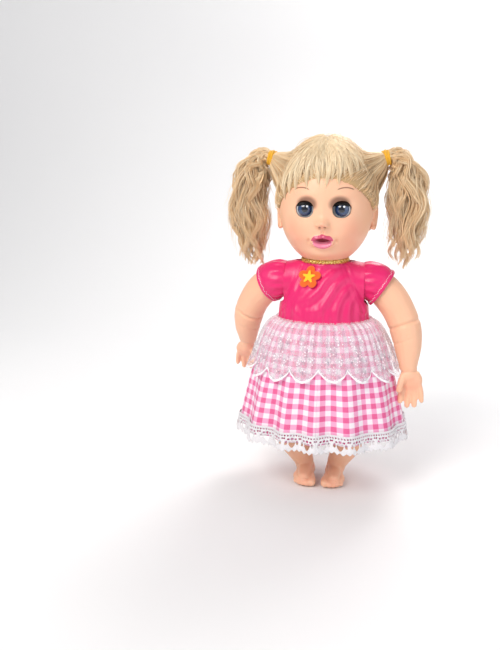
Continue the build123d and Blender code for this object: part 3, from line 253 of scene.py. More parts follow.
def face_finish():
    """The head's vinyl with its sprayed cheeks, lips, brows and eye shadow."""
    s = body_set()
    blush = [(side * 22, -30, EQUATOR - 19, 17, 0.42) for side in (-1, 1)]
    blush += [(0, -40, EQUATOR - 40, 9, 0.25), (0, -47, EQUATOR - 12, 5.5, 0.22)]
    f, colour, (x, y, z, place) = vinyl("head vinyl", blush)
    front = f.fade(y, -14.0, -10.0)
    side_x = f.sum("ABSOLUTE", x)
    ez, ex = EYE_AT[2], EYE_AT[0]
    # Smoke over each eye, darkest towards the nose, and a dark rim.
    smoke = f.fade(f.oval(side_x, z, ex - 1.8, ez + 4.2, 10.4, 8.2), 0.55, 1.0)
    rim = f.fade(f.oval(side_x, z, ex, ez, 8.6, 7.9), 0.86, 1.0)
    upper = f.sum("SUBTRACT", 1.0, f.fade(z, ez - 3.0, ez + 2.5))
    shade = f.sum("MAXIMUM", f.sum("MULTIPLY", smoke, 0.74), f.sum("MULTIPLY", f.sum("MULTIPLY", rim, upper), 0.9))
    colour = f.blend(f.sum("MULTIPLY", f.sum("MULTIPLY", shade, front), upper), colour, s.shadow)
    # Thin arched brows.
    run = f.sum("DIVIDE", f.sum("SUBTRACT", side_x, ex + 2.8), 7.2)
    bend = f.sum("MULTIPLY", f.sum("MULTIPLY", run, run), 2.0)
    arc = f.sum("ABSOLUTE", f.sum("SUBTRACT", f.sum("ADD", z, bend), ez + 17.4))
    brow = f.sum("MULTIPLY", f.fade(arc, 0.18, 0.75), f.fade(f.sum("ABSOLUTE", run), 0.72, 1.0))
    colour = f.blend(f.sum("MULTIPLY", f.sum("MULTIPLY", brow, front), 0.85), colour, s.brow)
    # Lips and the open mouth.
    mz = EQUATOR - 25.6
    peak = f.sum("MULTIPLY", f.sum("COSINE", f.sum("MULTIPLY", x, 0.95)), -0.35)
    upper_lip = f.fade(f.oval(x, f.sum("ADD", z, peak), 0.0, mz - 0.9, 9.6, 5.5), 0.93, 1.0)
    lower_lip = f.fade(f.oval(x, z, 0.0, mz - 1.6, 8.2, 6.6), 0.92, 1.0)
    is_upper = f.sum("SUBTRACT", 1.0, f.fade(z, mz - 1.2, mz - 0.5))
    colour = f.blend(f.sum("MULTIPLY", f.sum("MULTIPLY", lower_lip, f.sum("SUBTRACT", 1.0, is_upper)), front), colour,
                     s.lip_lower)
    colour = f.blend(f.sum("MULTIPLY", f.sum("MULTIPLY", upper_lip, is_upper), front), colour, s.lip_upper)
    gape = f.fade(f.oval(x, z, 0.0, mz - 0.2, 6.0, 1.9), 0.80, 1.02)
    colour = f.blend(f.sum("MULTIPLY", gape, front), colour, s.mouth)
    # Painted shade: dark red-brown in the pressed nostril hollows.
    nostril_shade = f.fade(f.oval(side_x, z, 2.1, EQUATOR - 15.1, 1.35, 0.8), 0.5, 1.15)
    colour = f.blend(f.sum("MULTIPLY", f.sum("MULTIPLY", nostril_shade, front), 0.75), colour, (0.25, 0.05, 0.03))
    painted = f.sum("MULTIPLY", f.sum("MAXIMUM", upper_lip, lower_lip), front)
    rough = f.node("ShaderNodeMapRange", Value=painted, From_Min=0.0, From_Max=1.0, To_Min=0.46, To_Max=0.26)
    f.put(f.shader.inputs["Roughness"], rough)
    f.put(f.shader.inputs["Base Color"], colour)
    return f.material


def eye_finish(side):
    """A printed iris on a glossy white ball, with a painted highlight dot."""
    s = body_set()
    f = Finish(f"{side} eye gloss", Roughness=0.12, Coat_Weight=1.0, Coat_Roughness=0.02)
    x, y, z, place = f.object_mm()
    sign = 1 if side == "left" else -1
    cx, cz = sign * EYE_AT[0], EYE_AT[2]
    dx, dz = f.sum("SUBTRACT", x, cx), f.sum("SUBTRACT", z, cz)
    r = f.oval(x, z, cx, cz, 1.0, 1.0)
    turn = f.sum("ARCTAN2", dz, dx)
    spokes = f.node("ShaderNodeTexNoise", settings={"noise_dimensions": "2D"},
                    Vector=f.node("ShaderNodeCombineXYZ", X=f.sum("MULTIPLY", turn, 5.0), Y=f.sum("MULTIPLY", r, 0.35)),
                    Scale=2.6, Detail=3.0)
    spokes = f.node("ShaderNodeMapRange", Value=spokes, From_Min=0.42, From_Max=0.70, To_Min=0.0, To_Max=1.0)
    low = f.fade(dz, -1.0, 4.0)
    bright = f.sum("MULTIPLY", spokes, f.sum("ADD", f.sum("MULTIPLY", low, 0.6), 0.25))
    iris = f.blend(bright, s.iris, (0.045, 0.115, 0.27))
    iris = f.blend(f.fade(r, 2.2, 3.1), iris, (0.004, 0.006, 0.015))
    iris = f.blend(f.sum("SUBTRACT", 1.0, f.fade(r, 4.9, 5.8)), iris, (0.008, 0.015, 0.045))
    white = f.blend(f.fade(r, 5.9, 6.9), (0.88, 0.88, 0.90), (0.55, 0.58, 0.66))
    colour = f.blend(f.fade(r, 5.72, 5.95), white, iris)
    # Painted highlight: a white catchlight dot at the upper right of the pupil, which turns with the eye.
    painted_catchlight = f.fade(f.oval(x, z, cx + 1.9, cz + 2.3, 0.95, 0.95), 0.72, 1.05)
    colour = f.blend(painted_catchlight, colour, (0.95, 0.97, 1.0))
    behind = f.fade(y, EYE_AT[1] - 1.0, EYE_AT[1] + 0.5)
    f.put(f.shader.inputs["Base Color"], f.blend(behind, (0.80, 0.80, 0.80), colour))
    return f.material


def hair_finish(name="blonde hair", highlight_lift=0.0):
    s = hair_set()
    # The lift moves the dark strands towards the light ones: a painted highlight, used on the fringe.
    dark = tuple(d + (l - d) * highlight_lift for d, l in zip(s.dark, s.light))
    f = Finish(name, Roughness=0.28, Anisotropic=0.5, Sheen_Weight=0.1, Coat_Weight=0.3, Coat_Roughness=0.25)
    x, y, z, place = f.object_mm()
    own = f.node("ShaderNodeNewGeometry", output=8)
    patch = f.noise(place, 0.05, 2.0)
    tone = f.sum("ADD", f.sum("MULTIPLY", own, 0.62), f.sum("MULTIPLY", patch, 0.42), clamp=True)
    colour = f.blend(tone, dark, s.light)
    f.put(f.shader.inputs["Base Color"], colour)
    return f.material


def satin_finish(name="pink satin"):
    s = dress_set()
    f = Finish(name, Roughness=0.33, Sheen_Weight=0.25, Sheen_Roughness=0.35, Anisotropic=0.3)
    x, y, z, place = f.object_mm()
    weave = f.node("ShaderNodeTexWave", settings={"bands_direction": "DIAGONAL"}, Vector=place, Scale=1.9,
                   Distortion=0.6, Detail=1.0)
    cloud = f.noise(place, 0.09, 3.0)
    tinted = f.blend(f.sum("MULTIPLY", cloud, 0.35), s.satin, (s.satin[0] * 0.72, s.satin[1] * 0.5, s.satin[2] * 0.7))
    f.put(f.shader.inputs["Base Color"], tinted)
    first = f.bump(weave, 0.10, 0.0002)
    f.put(f.shader.inputs["Normal"], f.bump(f.noise(place, 0.9, 3.0), 0.12, 0.0006, first))
    return f.material


def gingham_finish():
    """Woven checks that follow the cloth's own measure."""
    s = dress_set()
    f = Finish("pink gingham", Roughness=0.72, Sheen_Weight=0.2, Sheen_Roughness=0.4)
    u, v = f.uv()
    stripes = []
    for way in (u, v):
        phase = f.sum("FRACT", way)
        edge = f.sum("ABSOLUTE", f.sum("SUBTRACT", phase, 0.5))
        stripes.append(f.fade(edge, 0.235, 0.265))
    both = f.sum("MULTIPLY", stripes[0], stripes[1])
    one = f.sum("MAXIMUM", stripes[0], stripes[1])
    colour = f.blend(one, s.check_pale, s.check_mid)
    colour = f.blend(both, colour, s.check_dark)
    threads = []
    for way in (u, v):
        threads.append(f.sum("SINE", f.sum("MULTIPLY", way, 2 * math.pi * 26)))
    weave = f.sum("MULTIPLY", threads[0], threads[1])
    x, y, z, place = f.object_mm()
    fuzz = f.noise(place, 1.2, 4.0)
    colour = f.blend(f.sum("MULTIPLY", f.sum("ADD", weave, 1.0), 0.06), colour, s.check_pale)
    colour = f.blend(f.sum("MULTIPLY", fuzz, 0.14), colour, s.check_mid)
    f.put(f.shader.inputs["Base Color"], colour)
    f.put(f.shader.inputs["Normal"], f.bump(weave, 0.25, 0.00015, f.bump(fuzz, 0.15, 0.0004)))
    return f.material


def tulle_finish():
    """Sheer tulle with silver glitter embroidery, thicker along the scallops."""
    s = dress_set()
    f = Finish("glitter tulle", Roughness=0.5, Sheen_Weight=0.5)
    u, v = f.uv()
    x, y, z, place = f.object_mm()
    # u counts scallops, v runs from the waist (1) to the scallop's edge (0).
    local = f.sum("SUBTRACT", f.sum("FRACT", u), 0.5)
    leaf_centres = ((0.0, 0.50, 0.17, 0.22), (0.25, 0.34, 0.15, 0.12), (-0.25, 0.34, 0.15, 0.12),
                    (0.22, 0.68, 0.11, 0.10), (-0.22, 0.68, 0.11, 0.10), (0.0, 0.20, 0.22, 0.09))
    motif = None
    for cx, cv, rx, rv in leaf_centres:
        leaf = f.fade(f.oval(local, v, cx, cv, rx, rv), 0.6, 1.15)
        motif = leaf if motif is None else f.sum("MAXIMUM", motif, leaf)
    border = f.fade(v, 0.05, 0.16)
    edge = f.fade(v, 0.035, 0.055)
    motif = f.sum("MAXIMUM", motif, border)
    cells = f.node("ShaderNodeTexVoronoi", output=0, Vector=place, Scale=0.62)
    specks = f.fade(cells, 0.30, 0.46)
    sparse = f.noise(place, 0.32, 2.0)
    sprinkle = f.sum("MULTIPLY", specks, f.sum("SUBTRACT", 1.0, f.fade(sparse, 0.44, 0.56)))
    glitter = f.sum("MAXIMUM", f.sum("MULTIPLY", motif, f.sum("ADD", f.sum("MULTIPLY", specks, 0.55), 0.45)),
                    f.sum("MULTIPLY", sprinkle, 0.8))
    net = f.node("ShaderNodeTexVoronoi", output=0, settings={"feature": "DISTANCE_TO_EDGE"}, Vector=place, Scale=1.6)
    mesh = f.fade(net, 0.03, 0.10)
    cover = f.sum("ADD", f.sum("MULTIPLY", mesh, 0.30), 0.22)
    cover = f.sum("MAXIMUM", cover, f.sum("MULTIPLY", glitter, 0.95), clamp=True)
    cover = f.sum("MAXIMUM", cover, edge)
    silver = f.node("ShaderNodeTexVoronoi", output=1, Vector=place, Scale=0.62)
    silver_tone = f.node("ShaderNodeSeparateColor", i0=silver)
    spangle = f.blend(silver_tone, (0.17, 0.17, 0.22), (1.0, 0.99, 1.0))
    colour = f.blend(f.sum("MULTIPLY", glitter, 0.95), s.lace, spangle)
    f.put(f.shader.inputs["Base Color"], f.blend(edge, colour, s.lace))
    f.put(f.shader.inputs["Alpha"], cover)
    f.put(f.shader.inputs["Metallic"], f.sum("MULTIPLY", f.sum("MULTIPLY", glitter, specks), 0.55))
    f.put(f.shader.inputs["Normal"], f.bump(silver_tone, 0.55, 0.0004))
    return f.material


def thread_finish(name, colour, scale=2.0, rough=0.75):
    """Close threads: trims, stitches, bands and tape."""
    f = Finish(name, Roughness=rough, Sheen_Weight=0.35, Sheen_Roughness=0.4)
    x, y, z, place = f.object_mm()
    wave = f.node("ShaderNodeTexWave", settings={"bands_direction": "DIAGONAL"}, Vector=place, Scale=scale,
                  Distortion=1.5, Detail=2.0)
    fuzz = f.noise(place, 1.5, 3.0)
    dark = tuple(channel * 0.74 for channel in colour)
    f.put(f.shader.inputs["Base Color"], f.blend(f.sum("MULTIPLY", wave, 0.5), colour, dark))
    f.put(f.shader.inputs["Normal"], f.bump(wave, 0.4, 0.0003, f.bump(fuzz, 0.3, 0.0003)))
    return f.material


def felt_finish(name, colour):
    f = Finish(name, Roughness=0.92, Sheen_Weight=0.5, Sheen_Roughness=0.5)
    x, y, z, place = f.object_mm()
    fibre = f.noise(place, 2.2, 6.0, 0.7)
    f.put(f.shader.inputs["Base Color"], f.blend(f.sum("MULTIPLY", fibre, 0.5), colour, tuple(c * 0.7 for c in colour)))
    f.put(f.shader.inputs["Normal"], f.bump(fibre, 0.6, 0.0006))
    return f.material


def hard_finish(name, colour, metallic=0.0, rough=0.4, grain=1.2):
    f = Finish(name, Roughness=rough, Metallic=metallic)
    x, y, z, place = f.object_mm()
    cloud = f.noise(place, grain, 3.0)
    f.put(f.shader.inputs["Base Color"], f.blend(f.sum("MULTIPLY", cloud, 0.3), colour, tuple(c * 0.8 for c in colour)))
    f.put(f.shader.inputs["Normal"], f.bump(cloud, 0.08, 0.0003))
    return f.material


# ------------------------------------------------------------ mesh helpers
def lane_points(points, count):
    """Evenly spread points on a smooth line through the given ones, with any extra columns."""
    given = np.array(points, float)
    padded = np.vstack([2 * given[0] - given[1], given, 2 * given[-1] - given[-2]])
    t = np.linspace(0, len(given) - 1.0001, count)
    i = t.astype(int)
    u = (t - i)[:, None]
    a, b, c, d = padded[i], padded[i + 1], padded[i + 2], padded[i + 3]
    return 0.5 * (2 * b + (c - a) * u + (2 * a - 5 * b + 4 * c - d) * u**2 + (3 * b - a - 3 * c + d) * u**3)


def add_object(name, mesh, material, smooth=True):
    made = bpy.data.objects.new(name, mesh)
    bpy.context.scene.collection.objects.link(made)
    mesh.materials.clear()
    mesh.materials.append(material)
    if smooth:
        mesh.polygons.foreach_set("use_smooth", [True] * len(mesh.polygons))
    return made


def bm_object(name, bm, material, smooth=True):
    mesh = bpy.data.meshes.new(name)
    bm.to_mesh(mesh)
    bm.free()
    return add_object(name, mesh, material, smooth)


def settle(obj):
    """Applies an object's modifiers to its mesh."""
    graph = bpy.context.evaluated_depsgraph_get()
    mesh = bpy.data.meshes.new_from_object(obj.evaluated_get(graph))
    materials = [slot.material for slot in obj.material_slots]
    old = obj.data
    obj.modifiers.clear()
    obj.data = mesh
    bpy.data.meshes.remove(old)
    mesh.materials.clear()
    for material in materials:
        mesh.materials.append(material)
    mesh.polygons.foreach_set("use_smooth", [True] * len(mesh.polygons))
    return obj


def read_mm(mesh):
    co = np.empty(len(mesh.vertices) * 3)
    mesh.vertices.foreach_get("co", co)
    return co.reshape(-1, 3) / MM


def write_mm(mesh, co):
    mesh.vertices.foreach_set("co", (co * MM).ravel())
    mesh.update()


def normals_of(mesh):
    no = np.empty(len(mesh.vertices) * 3)
    mesh.vertices.foreach_get("normal", no)
    return no.reshape(-1, 3)


def balls_along(points, count):
    """Balls (x, y, z, r) on a smooth line, for a limb."""
    return [(tuple(row[:3]), (row[3],) * 3) for row in lane_points(points, count)]


def fused(name, balls, material, voxel, smooth=6):
    """One closed skin over many balls, each (centre, radii) or (centre, radii, turn)."""
    ball_shape = bmesh.new()
    bmesh.ops.create_uvsphere(ball_shape, u_segments=20, v_segments=12, radius=1.0)
    ball_mesh = bpy.data.meshes.new("ball")
    ball_shape.to_mesh(ball_mesh)
    ball_shape.free()
    bm = bmesh.new()
    for ball in balls:
        centre, radii = ball[0], ball[1]
        turn = ball[2] if len(ball) > 2 else Matrix.Identity(4)
        place = Matrix.Translation(Vector(centre) * MM) @ turn @ Matrix.Diagonal((*(Vector(radii) * MM), 1.0))
        copy = ball_mesh.copy()
        copy.transform(place)
        bm.from_mesh(copy)
        bpy.data.meshes.remove(copy)
    bpy.data.meshes.remove(ball_mesh)
    made = bm_object(name, bm, material)
    grid = made.modifiers.new("skin", "REMESH")
    grid.mode = "VOXEL"
    grid.voxel_size = voxel
    settle(made)
    relax = made.modifiers.new("relax", "SMOOTH")
    relax.factor = 0.5
    relax.iterations = smooth
    return settle(made)


def keep_side(obj, point, normal, fill=False):
    """Cuts away what lies beyond a plane along its normal."""
    bm = bmesh.new()
    bm.from_mesh(obj.data)
    cut = bmesh.ops.bisect_plane(bm, geom=bm.verts[:] + bm.edges[:] + bm.faces[:], plane_co=Vector(point) * MM,
                                 plane_no=Vector(normal), clear_outer=True, dist=1e-7)
    if fill:
        edges = [item for item in cut["geom_cut"] if isinstance(item, bmesh.types.BMEdge)]
        bmesh.ops.triangle_fill(bm, edges=edges, use_beauty=True)
        bmesh.ops.recalc_face_normals(bm, faces=bm.faces[:])
    bm.to_mesh(obj.data)
    bm.free()
    obj.data.polygons.foreach_set("use_smooth", [True] * len(obj.data.polygons))
    return obj


def keep_armhole(obj, sign):
    """Opens the armhole: a flat cut that reaches no further than the sleeve does."""
    bm = bmesh.new()
    bm.from_mesh(obj.data)
    reach = [f for f in bm.faces if sign * f.calc_center_median().x > 0.030
             and math.hypot(f.calc_center_median().y / MM - SHOULDER[1],
                            f.calc_center_median().z / MM - SHOULDER[2]) < 21]
    near = {v for f in reach for v in f.verts} | {e for f in reach for e in f.edges}
    bmesh.ops.bisect_plane(bm, geom=list(near) + reach, plane_co=(sign * 0.0349, 0, 0), plane_no=(sign, 0, 0),
                           dist=1e-7)
    gone = [f for f in bm.faces if sign * f.calc_center_median().x > 0.0349
            and math.hypot(f.calc_center_median().y / MM - SHOULDER[1],
                           f.calc_center_median().z / MM - SHOULDER[2]) < 20.5]
    bmesh.ops.delete(bm, geom=gone, context="FACES")
    bm.to_mesh(obj.data)
    bm.free()
    return obj


def strands(name, lines, radii, material, radius):
    """Fine four-sided strands along rows of points; lines is (strands, points, 3) in mm."""
    lines = np.asarray(lines)
    curve = bpy.data.curves.new(name, "CURVE")
    curve.dimensions = "3D"
    curve.bevel_depth = radius
    curve.bevel_resolution = 0
    count = lines.shape[1]
    block = np.ones((count, 4))
    for row, thick in zip(lines, radii):
        spline = curve.splines.new("POLY")
        spline.points.add(count - 1)
        block[:, :3] = row * MM
        spline.points.foreach_set("co", block.ravel())
        spline.points.foreach_set("radius", thick)
    holder = bpy.data.objects.new(name + "_lines", curve)
    bpy.context.scene.collection.objects.link(holder)
    graph = bpy.context.evaluated_depsgraph_get()
    mesh = bpy.data.meshes.new_from_object(holder.evaluated_get(graph))
    bpy.data.objects.remove(holder)
    bpy.data.curves.remove(curve)
    mesh.name = name
    return add_object(name, mesh, material)


def taper(count, tip=0.25, root=0.8):
    t = np.linspace(0, 1, count)
    return np.minimum(root + t * 4, 1.0) * (1 - (1 - tip) * np.clip((t - 0.7) / 0.3, 0, 1))


def groove(co, no, point, axis, width, depth, toward=None):
    """Presses a soft crease round a limb; toward favours one side of it."""
    axis = np.array(axis, float) / np.linalg.norm(axis)
    away = (co - np.array(point)) @ axis
    near = np.exp(-(away / width) ** 2)
    if toward is not None:
        facing = no @ (np.array(toward, float) / np.linalg.norm(toward))
        near = near * np.clip(0.5 + 0.7 * facing, 0, 1)
    reach = np.linalg.norm(co - np.array(point), axis=1)
    near = near * (reach < 26)
    return co - no * (near * depth)[:, None]


def hump(co, no, point, sigma, height):
    """Raises or presses a round spot."""
    away = np.linalg.norm((co - np.array(point)) / np.array(sigma), axis=1)
    return co + no * (np.exp(-away**2) * height)[:, None]


def turned(points, about, degrees):
    """Points (or balls) turned about the shoulder line."""
    a = math.radians(degrees)
    out = np.array(points, float)
    y, z = out[:, 1] - about[1], out[:, 2] - about[2]
    out[:, 1] = about[1] + y * math.cos(a) - z * math.sin(a)
    out[:, 2] = about[2] + y * math.sin(a) + z * math.cos(a)
    return out


# ------------------------------------------------------------ head
def egg_level(co, grow=0.0):
    """How far out a point lies on the skull's egg: 1 on its surface grown by grow."""
    d = co - SKULL
    high = np.where(d[:, 2] > 0, 56.0 + grow, 50.5 + grow)
    return np.sqrt((d[:, 0] / (40.3 + grow)) ** 2 + (d[:, 1] / (42.5 + grow)) ** 2 + (d[:, 2] / high) ** 2)


def bell(x, z, cx, cz, sx, sz):
    return np.exp(-(((x - cx) / sx) ** 2) - ((z - cz) / sz) ** 2)


def face_relief(co):
    """Height of cheeks, nose, lips and sockets over the egg, in mm."""
    x, z = co[:, 0], co[:, 2] - EQUATOR
    ax = np.abs(x)
    up = np.zeros(len(co))
    up += 3.0 * bell(ax, z, 19, -21, 12, 10)
    up += 1.4 * bell(x, z, 0, 20, 26, 12)
    up -= 2.6 * bell(ax, z, EYE_AT[0], 0.5, 9.5, 7.5)
    up += 0.9 * bell(ax, z, EYE_AT[0], 10, 9, 3.5)
    up += 1.0 * bell(x, z, 0, -5, 4, 6)
    up += 6.6 * bell(x, z, 0, -11.6, 4.1, 3.4)
    up += 2.4 * bell(ax, z, 3.7, -13.0, 1.9, 1.8)
    up -= 2.2 * bell(ax, z, 2.1, -15.2, 1.1, 0.8)
    up += 1.9 * bell(x, z, 0, -26, 11, 7)
    mz = -25.6
    # Lips: two rolls round a parted mouth.
    upper = mz + 2.9 + 0.35 * np.cos(0.95 * x) - 0.032 * x**2
    lower = mz - 4.7 + 0.046 * x**2
    span = np.clip(1 - (ax / 9.8) ** 2, 0, 1) ** 0.5
    up += 2.6 * span * np.exp(-((z - upper) / 1.6) ** 2)
    up += 3.3 * span * np.exp(-((z - lower) / 2.2) ** 2)
    up -= 3.6 * np.clip(1 - (ax / 7.0) ** 4, 0, 1) * np.exp(-np.abs((z - mz + 0.7) / (1.9 * np.clip(
        1 - (ax / 7.4) ** 2, 0.05, 1) ** 0.5)) ** 4)
    up -= 0.9 * bell(x, z, 0, mz + 5.2, 1.3, 2.4)
    up += 0.5 * bell(ax, z, 1.9, mz + 5.0, 0.9, 2.2)
    up -= 1.1 * bell(ax, z, 10.6, mz - 0.6, 1.4, 1.8)
    up -= 1.3 * bell(x, z, 0, -32.6, 8, 2.0)
    up += 3.0 * bell(x, z, 0, -37.5, 9, 4.6)
    up += 1.0 * bell(ax, z, 13, -36, 9, 6)
    return up


class DOLL_OT_head(Operator):
    """Makes the vinyl head with its face and ears"""
    bl_idname = "doll.head"
    bl_label = "Head"

    def execute(self, context):
        material = face_finish()
        bm = bmesh.new()
        bmesh.ops.create_uvsphere(bm, u_segments=300, v_segments=230, radius=1.0)
        co = np.array([v.co for v in bm.verts])
        # Crowd the columns towards the face.
        turn = np.arctan2(co[:, 0], -co[:, 1])
        turn = turn - 0.62 * np.sin(turn)
        flat = np.hypot(co[:, 0], co[:, 1])
        lean = np.arcsin(np.clip(co[:, 2], -1, 1))
        lean = lean + 0.0 * lean
        unit = np.stack([np.sin(turn) * flat, -np.cos(turn) * flat, np.sin(lean)], axis=1)
        high = np.where(unit[:, 2] > 0, 56.0, 50.5)
        co = SKULL + unit * np.stack([np.full(len(unit), 40.3), np.full(len(unit), 42.5), high], axis=1)
        slope = unit / np.stack([np.full(len(unit), 40.3), np.full(len(unit), 42.5), high], axis=1)
        slope /= np.linalg.norm(slope, axis=1)[:, None]
        front = np.clip((-co[:, 1] - 4) / 14, 0, 1)
        lift = face_relief(co) * front
        push = slope.copy()
        push[:, 1] = push[:, 1] * 1.6
        push /= np.linalg.norm(push, axis=1)[:, None]
        co = co + push * lift[:, None]
        # Round the neck rim in towards its hole.
        for vert, place in zip(bm.verts, co):
            vert.co = Vector(place) * MM
        bmesh.ops.bisect_plane(bm, geom=bm.verts[:] + bm.edges[:] + bm.faces[:], plane_co=(0, 0, RIM_Z * MM),
                               plane_no=(0, 0, -1), clear_outer=True, dist=1e-7)
        # The two round eye openings, with a turned-in edge.
        doomed = []
        for face in bm.faces:
            c = face.calc_center_median() / MM
            if c.y < -15 and self.opening(c.x, c.z) < 1.0:
                doomed.append(face)
        bmesh.ops.delete(bm, geom=doomed, context="FACES")
        rim = [e for e in bm.edges if e.is_boundary and e.verts[0].co.y / MM < -15 and e.verts[0].co.z / MM > RIM_Z + 5]
        for vert in {v for e in rim for v in e.verts}:
            x, z = vert.co.x / MM, vert.co.z / MM
            side = math.copysign(1, x)
            k = self.opening(x, z)
            vert.co.x = (side * EYE_AT[0] + (x - side * EYE_AT[0]) / k) * MM
            vert.co.z = (EYE_AT[2] + (z - EYE_AT[2]) / k) * MM
            self.clear_lid(vert)
        for step in ((0.25, 0.985), (0.5, 0.99), (1.2, 1.0)):
            grown = bmesh.ops.extrude_edge_only(bm, edges=rim)["geom"]
            rim = [g for g in grown if isinstance(g, bmesh.types.BMEdge)]
            for vert in {v for e in rim for v in e.verts}:
                side = math.copysign(1, vert.co.x)
                vert.co.y += step[0] * MM
                vert.co.x = (side * EYE_AT[0] + (vert.co.x / MM - side * EYE_AT[0]) * step[1]) * MM
                vert.co.z = (EYE_AT[2] + (vert.co.z / MM - EYE_AT[2]) * step[1]) * MM
                self.clear_lid(vert)
        # The neck rim turns in under the chin.
        hole = [e for e in bm.edges if e.is_boundary and abs(e.verts[0].co.z / MM - RIM_Z) < 0.5
                and abs(e.verts[1].co.z / MM - RIM_Z) < 0.5]
        grown = bmesh.ops.extrude_edge_only(bm, edges=hole)["geom"]
        for vert in [g for g in grown if isinstance(g, bmesh.types.BMVert)]:
            flat = Vector((vert.co.x, vert.co.y - SKULL[1] * MM))
            flat = flat.normalized() * 13.9 * MM
            vert.co.x, vert.co.y = flat.x, flat.y + SKULL[1] * MM
        grown_edges = [g for g in grown if isinstance(g, bmesh.types.BMEdge) and g.is_boundary]
        grown = bmesh.ops.extrude_edge_only(bm, edges=grown_edges)["geom"]
        for vert in [g for g in grown if isinstance(g, bmesh.types.BMVert)]:
            vert.co.z += 2.8 * MM
        bmesh.ops.recalc_face_normals(bm, faces=bm.faces[:])
        head = bm_object("head_vinyl", bm, material)
        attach(head, "head")
        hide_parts("head_shell")
        for side, sign in (("left", 1), ("right", -1)):
            ear = self.ear(side, sign, material)
            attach(ear, "head")
        return {"FINISHED"}

    def clear_lid(self, vert):
        """Holds a rim point in front of the sphere the lid sweeps."""
        x, y, z = vert.co / MM
        off = (abs(x) - EYE_AT[0]) ** 2 + (z - EYE_AT[2]) ** 2
        vert.co.y = min(y, EYE_AT[1] - math.sqrt(max(9.35**2 - off, 0.0))) * MM

    def opening(self, x, z):
        """1 on the edge of an eye opening, less inside it."""
        u = (abs(x) - EYE_AT[0]) / 7.5
        v = (z - EYE_AT[2]) / 6.9
        return (abs(u) ** 2.3 + abs(v) ** 2.3) ** (1 / 2.3) + 1e-6

    def ear(self, side, sign, material):
        at = np.array([sign * 39.2, 6.5, EQUATOR - 9.5])
        balls = []
        outline = [(0.4, -3.0, -8.2, 2.0), (1.4, 0.5, -8.6, 2.3), (2.2, 3.2, -4.5, 2.2), (3.0, 5.2, 1.0, 1.9),
                   (3.2, 5.0, 5.6, 1.8), (2.8, 2.2, 8.4, 1.8), (1.8, -1.4, 8.0, 1.8), (0.9, -3.4, 4.6, 1.7),
                   (0.2, -3.0, 0.5, 1.4)]
        for row in lane_points(outline, 60):
            balls.append(((at[0] + sign * row[0], at[1] + row[1], at[2] + row[2]), (row[3],) * 3))
        balls.append((tuple(at + np.array([-sign * 0.6, 0.6, 0])), (1.9, 5.2, 8.6)))
        balls.append((tuple(at + np.array([sign * 0.6, -2.4, -4.2])), (1.8, 1.8, 2.2)))
        balls.append((tuple(at + np.array([sign * 1.4, 2.4, 1.2])), (1.4, 1.5, 5.2)))
        return fused(f"{side}_ear", balls, material, 0.55 * MM, 5)


# ------------------------------------------------------------ eyes
class DOLL_OT_eyes(Operator):
    """Makes the glossy eyes, their lids and lashes"""
    bl_idname = "doll.eyes"
    bl_label = "Sleeping eyes"

    def execute(self, context):
        s = body_set()
        lash_black = hard_finish("lash black", (0.006, 0.005, 0.005), rough=0.5)
        lid = Finish("smoky lid", Roughness=0.42)
        x, y, z, place = lid.object_mm()
        dark = lid.fade(z, EYE_AT[2] + 5.0, EYE_AT[2] + 9.0)
        lid.put(lid.shader.inputs["Base Color"], lid.blend(dark, (0.40, 0.17, 0.10), (0.010, 0.005, 0.004)))
        lid.put(lid.shader.inputs["Normal"], lid.bump(lid.noise(place, 3.0), 0.1, 0.0003))
        for side, sign in (("left", 1), ("right", -1)):
            centre = np.array([sign * EYE_AT[0], EYE_AT[1], EYE_AT[2]])
            bm = bmesh.new()
            place = Matrix.Translation(Vector(centre) * MM) @ Matrix.Rotation(math.pi / 2, 4, "X")
            bmesh.ops.create_uvsphere(bm, u_segments=72, v_segments=48, radius=8.35 * MM, matrix=place)
            ball = bm_object(f"{side}_eye", bm, eye_finish(side))
            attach(ball, f"{side}_eye")
            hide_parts(f"{side}_eyeball", f"{side}_iris", f"{side}_cornea")
            lid_node = frame["nodes"][f"{side}_eyelid"]
            for slot in lid_node.material_slots:
                slot.material = lid.material
            random.seed(7)
            rows, thick = [], []
            for k in range(46):
                t = (k + 0.5 + random.uniform(-0.3, 0.3)) / 46 * 2 - 1
                x0 = t * 5.2
                lift = math.radians(27 - 2 * abs(t) + random.uniform(-1, 1))
                depth = math.sqrt(max(8.92**2 - x0**2, 1))
                root = centre + np.array([x0, -depth * math.cos(lift), depth * math.sin(lift)])
                reach = random.uniform(1.5, 2.1)
                out = np.array([0.18 * t, -math.cos(lift), math.sin(lift)])
                steps = np.linspace(0, 1, 6)
                line = [root + out * reach * q + np.array([0.35 * t * q * q, 0.0, 0.75 * q * q]) for q in steps]
                rows.append(line)
                thick.append(np.linspace(1.0, 0.2, 6))
            lashes = strands(f"{side}_lash_fan", rows, thick, lash_black, 0.2 * MM)
            # The dark edge that carries them.
            edge = []
            for t in np.linspace(-1, 1, 24):
                x0 = t * 6.2
                lift = math.radians(25.5)
                depth = math.sqrt(8.95**2 - x0**2)
                edge.append(centre + np.array([x0, -depth * math.cos(lift), depth * math.sin(lift)]))
            rim = strands(f"{side}_lash_edge", [edge], [np.ones(24)], lash_black, 0.55 * MM)
            for piece in (lashes, rim):
                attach(piece, f"{side}_eye")
            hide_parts(f"{side}_lashes")
        return {"FINISHED"}


# ------------------------------------------------------------ limbs
SWING = 34.0  # the right arm hangs this far back, in degrees


def arm_point(sign, x, y, z):
    return np.array([sign * (SHOULDER[0] + x), SHOULDER[1] + y, SHOULDER[2] + z])


def arm_line(sign):
    rows = [(0.0, 0, 0, 13.8), (4.5, 0, 1, 13.9), (11.5, 0, -3, 14.2), (21.8, -0.5, -13, 14.6), (30.3, -2, -26, 14.0),
            (36.0, -4, -40, 13.8), (38.6, -6, -54, 12.0), (39.4, -8, -66, 9.2), (40.0, -9, -75, 7.3),
            (41.0, -9.6, -80, 7.0)]
    return [(*arm_point(sign, x, y, z), r) for x, y, z, r in rows]


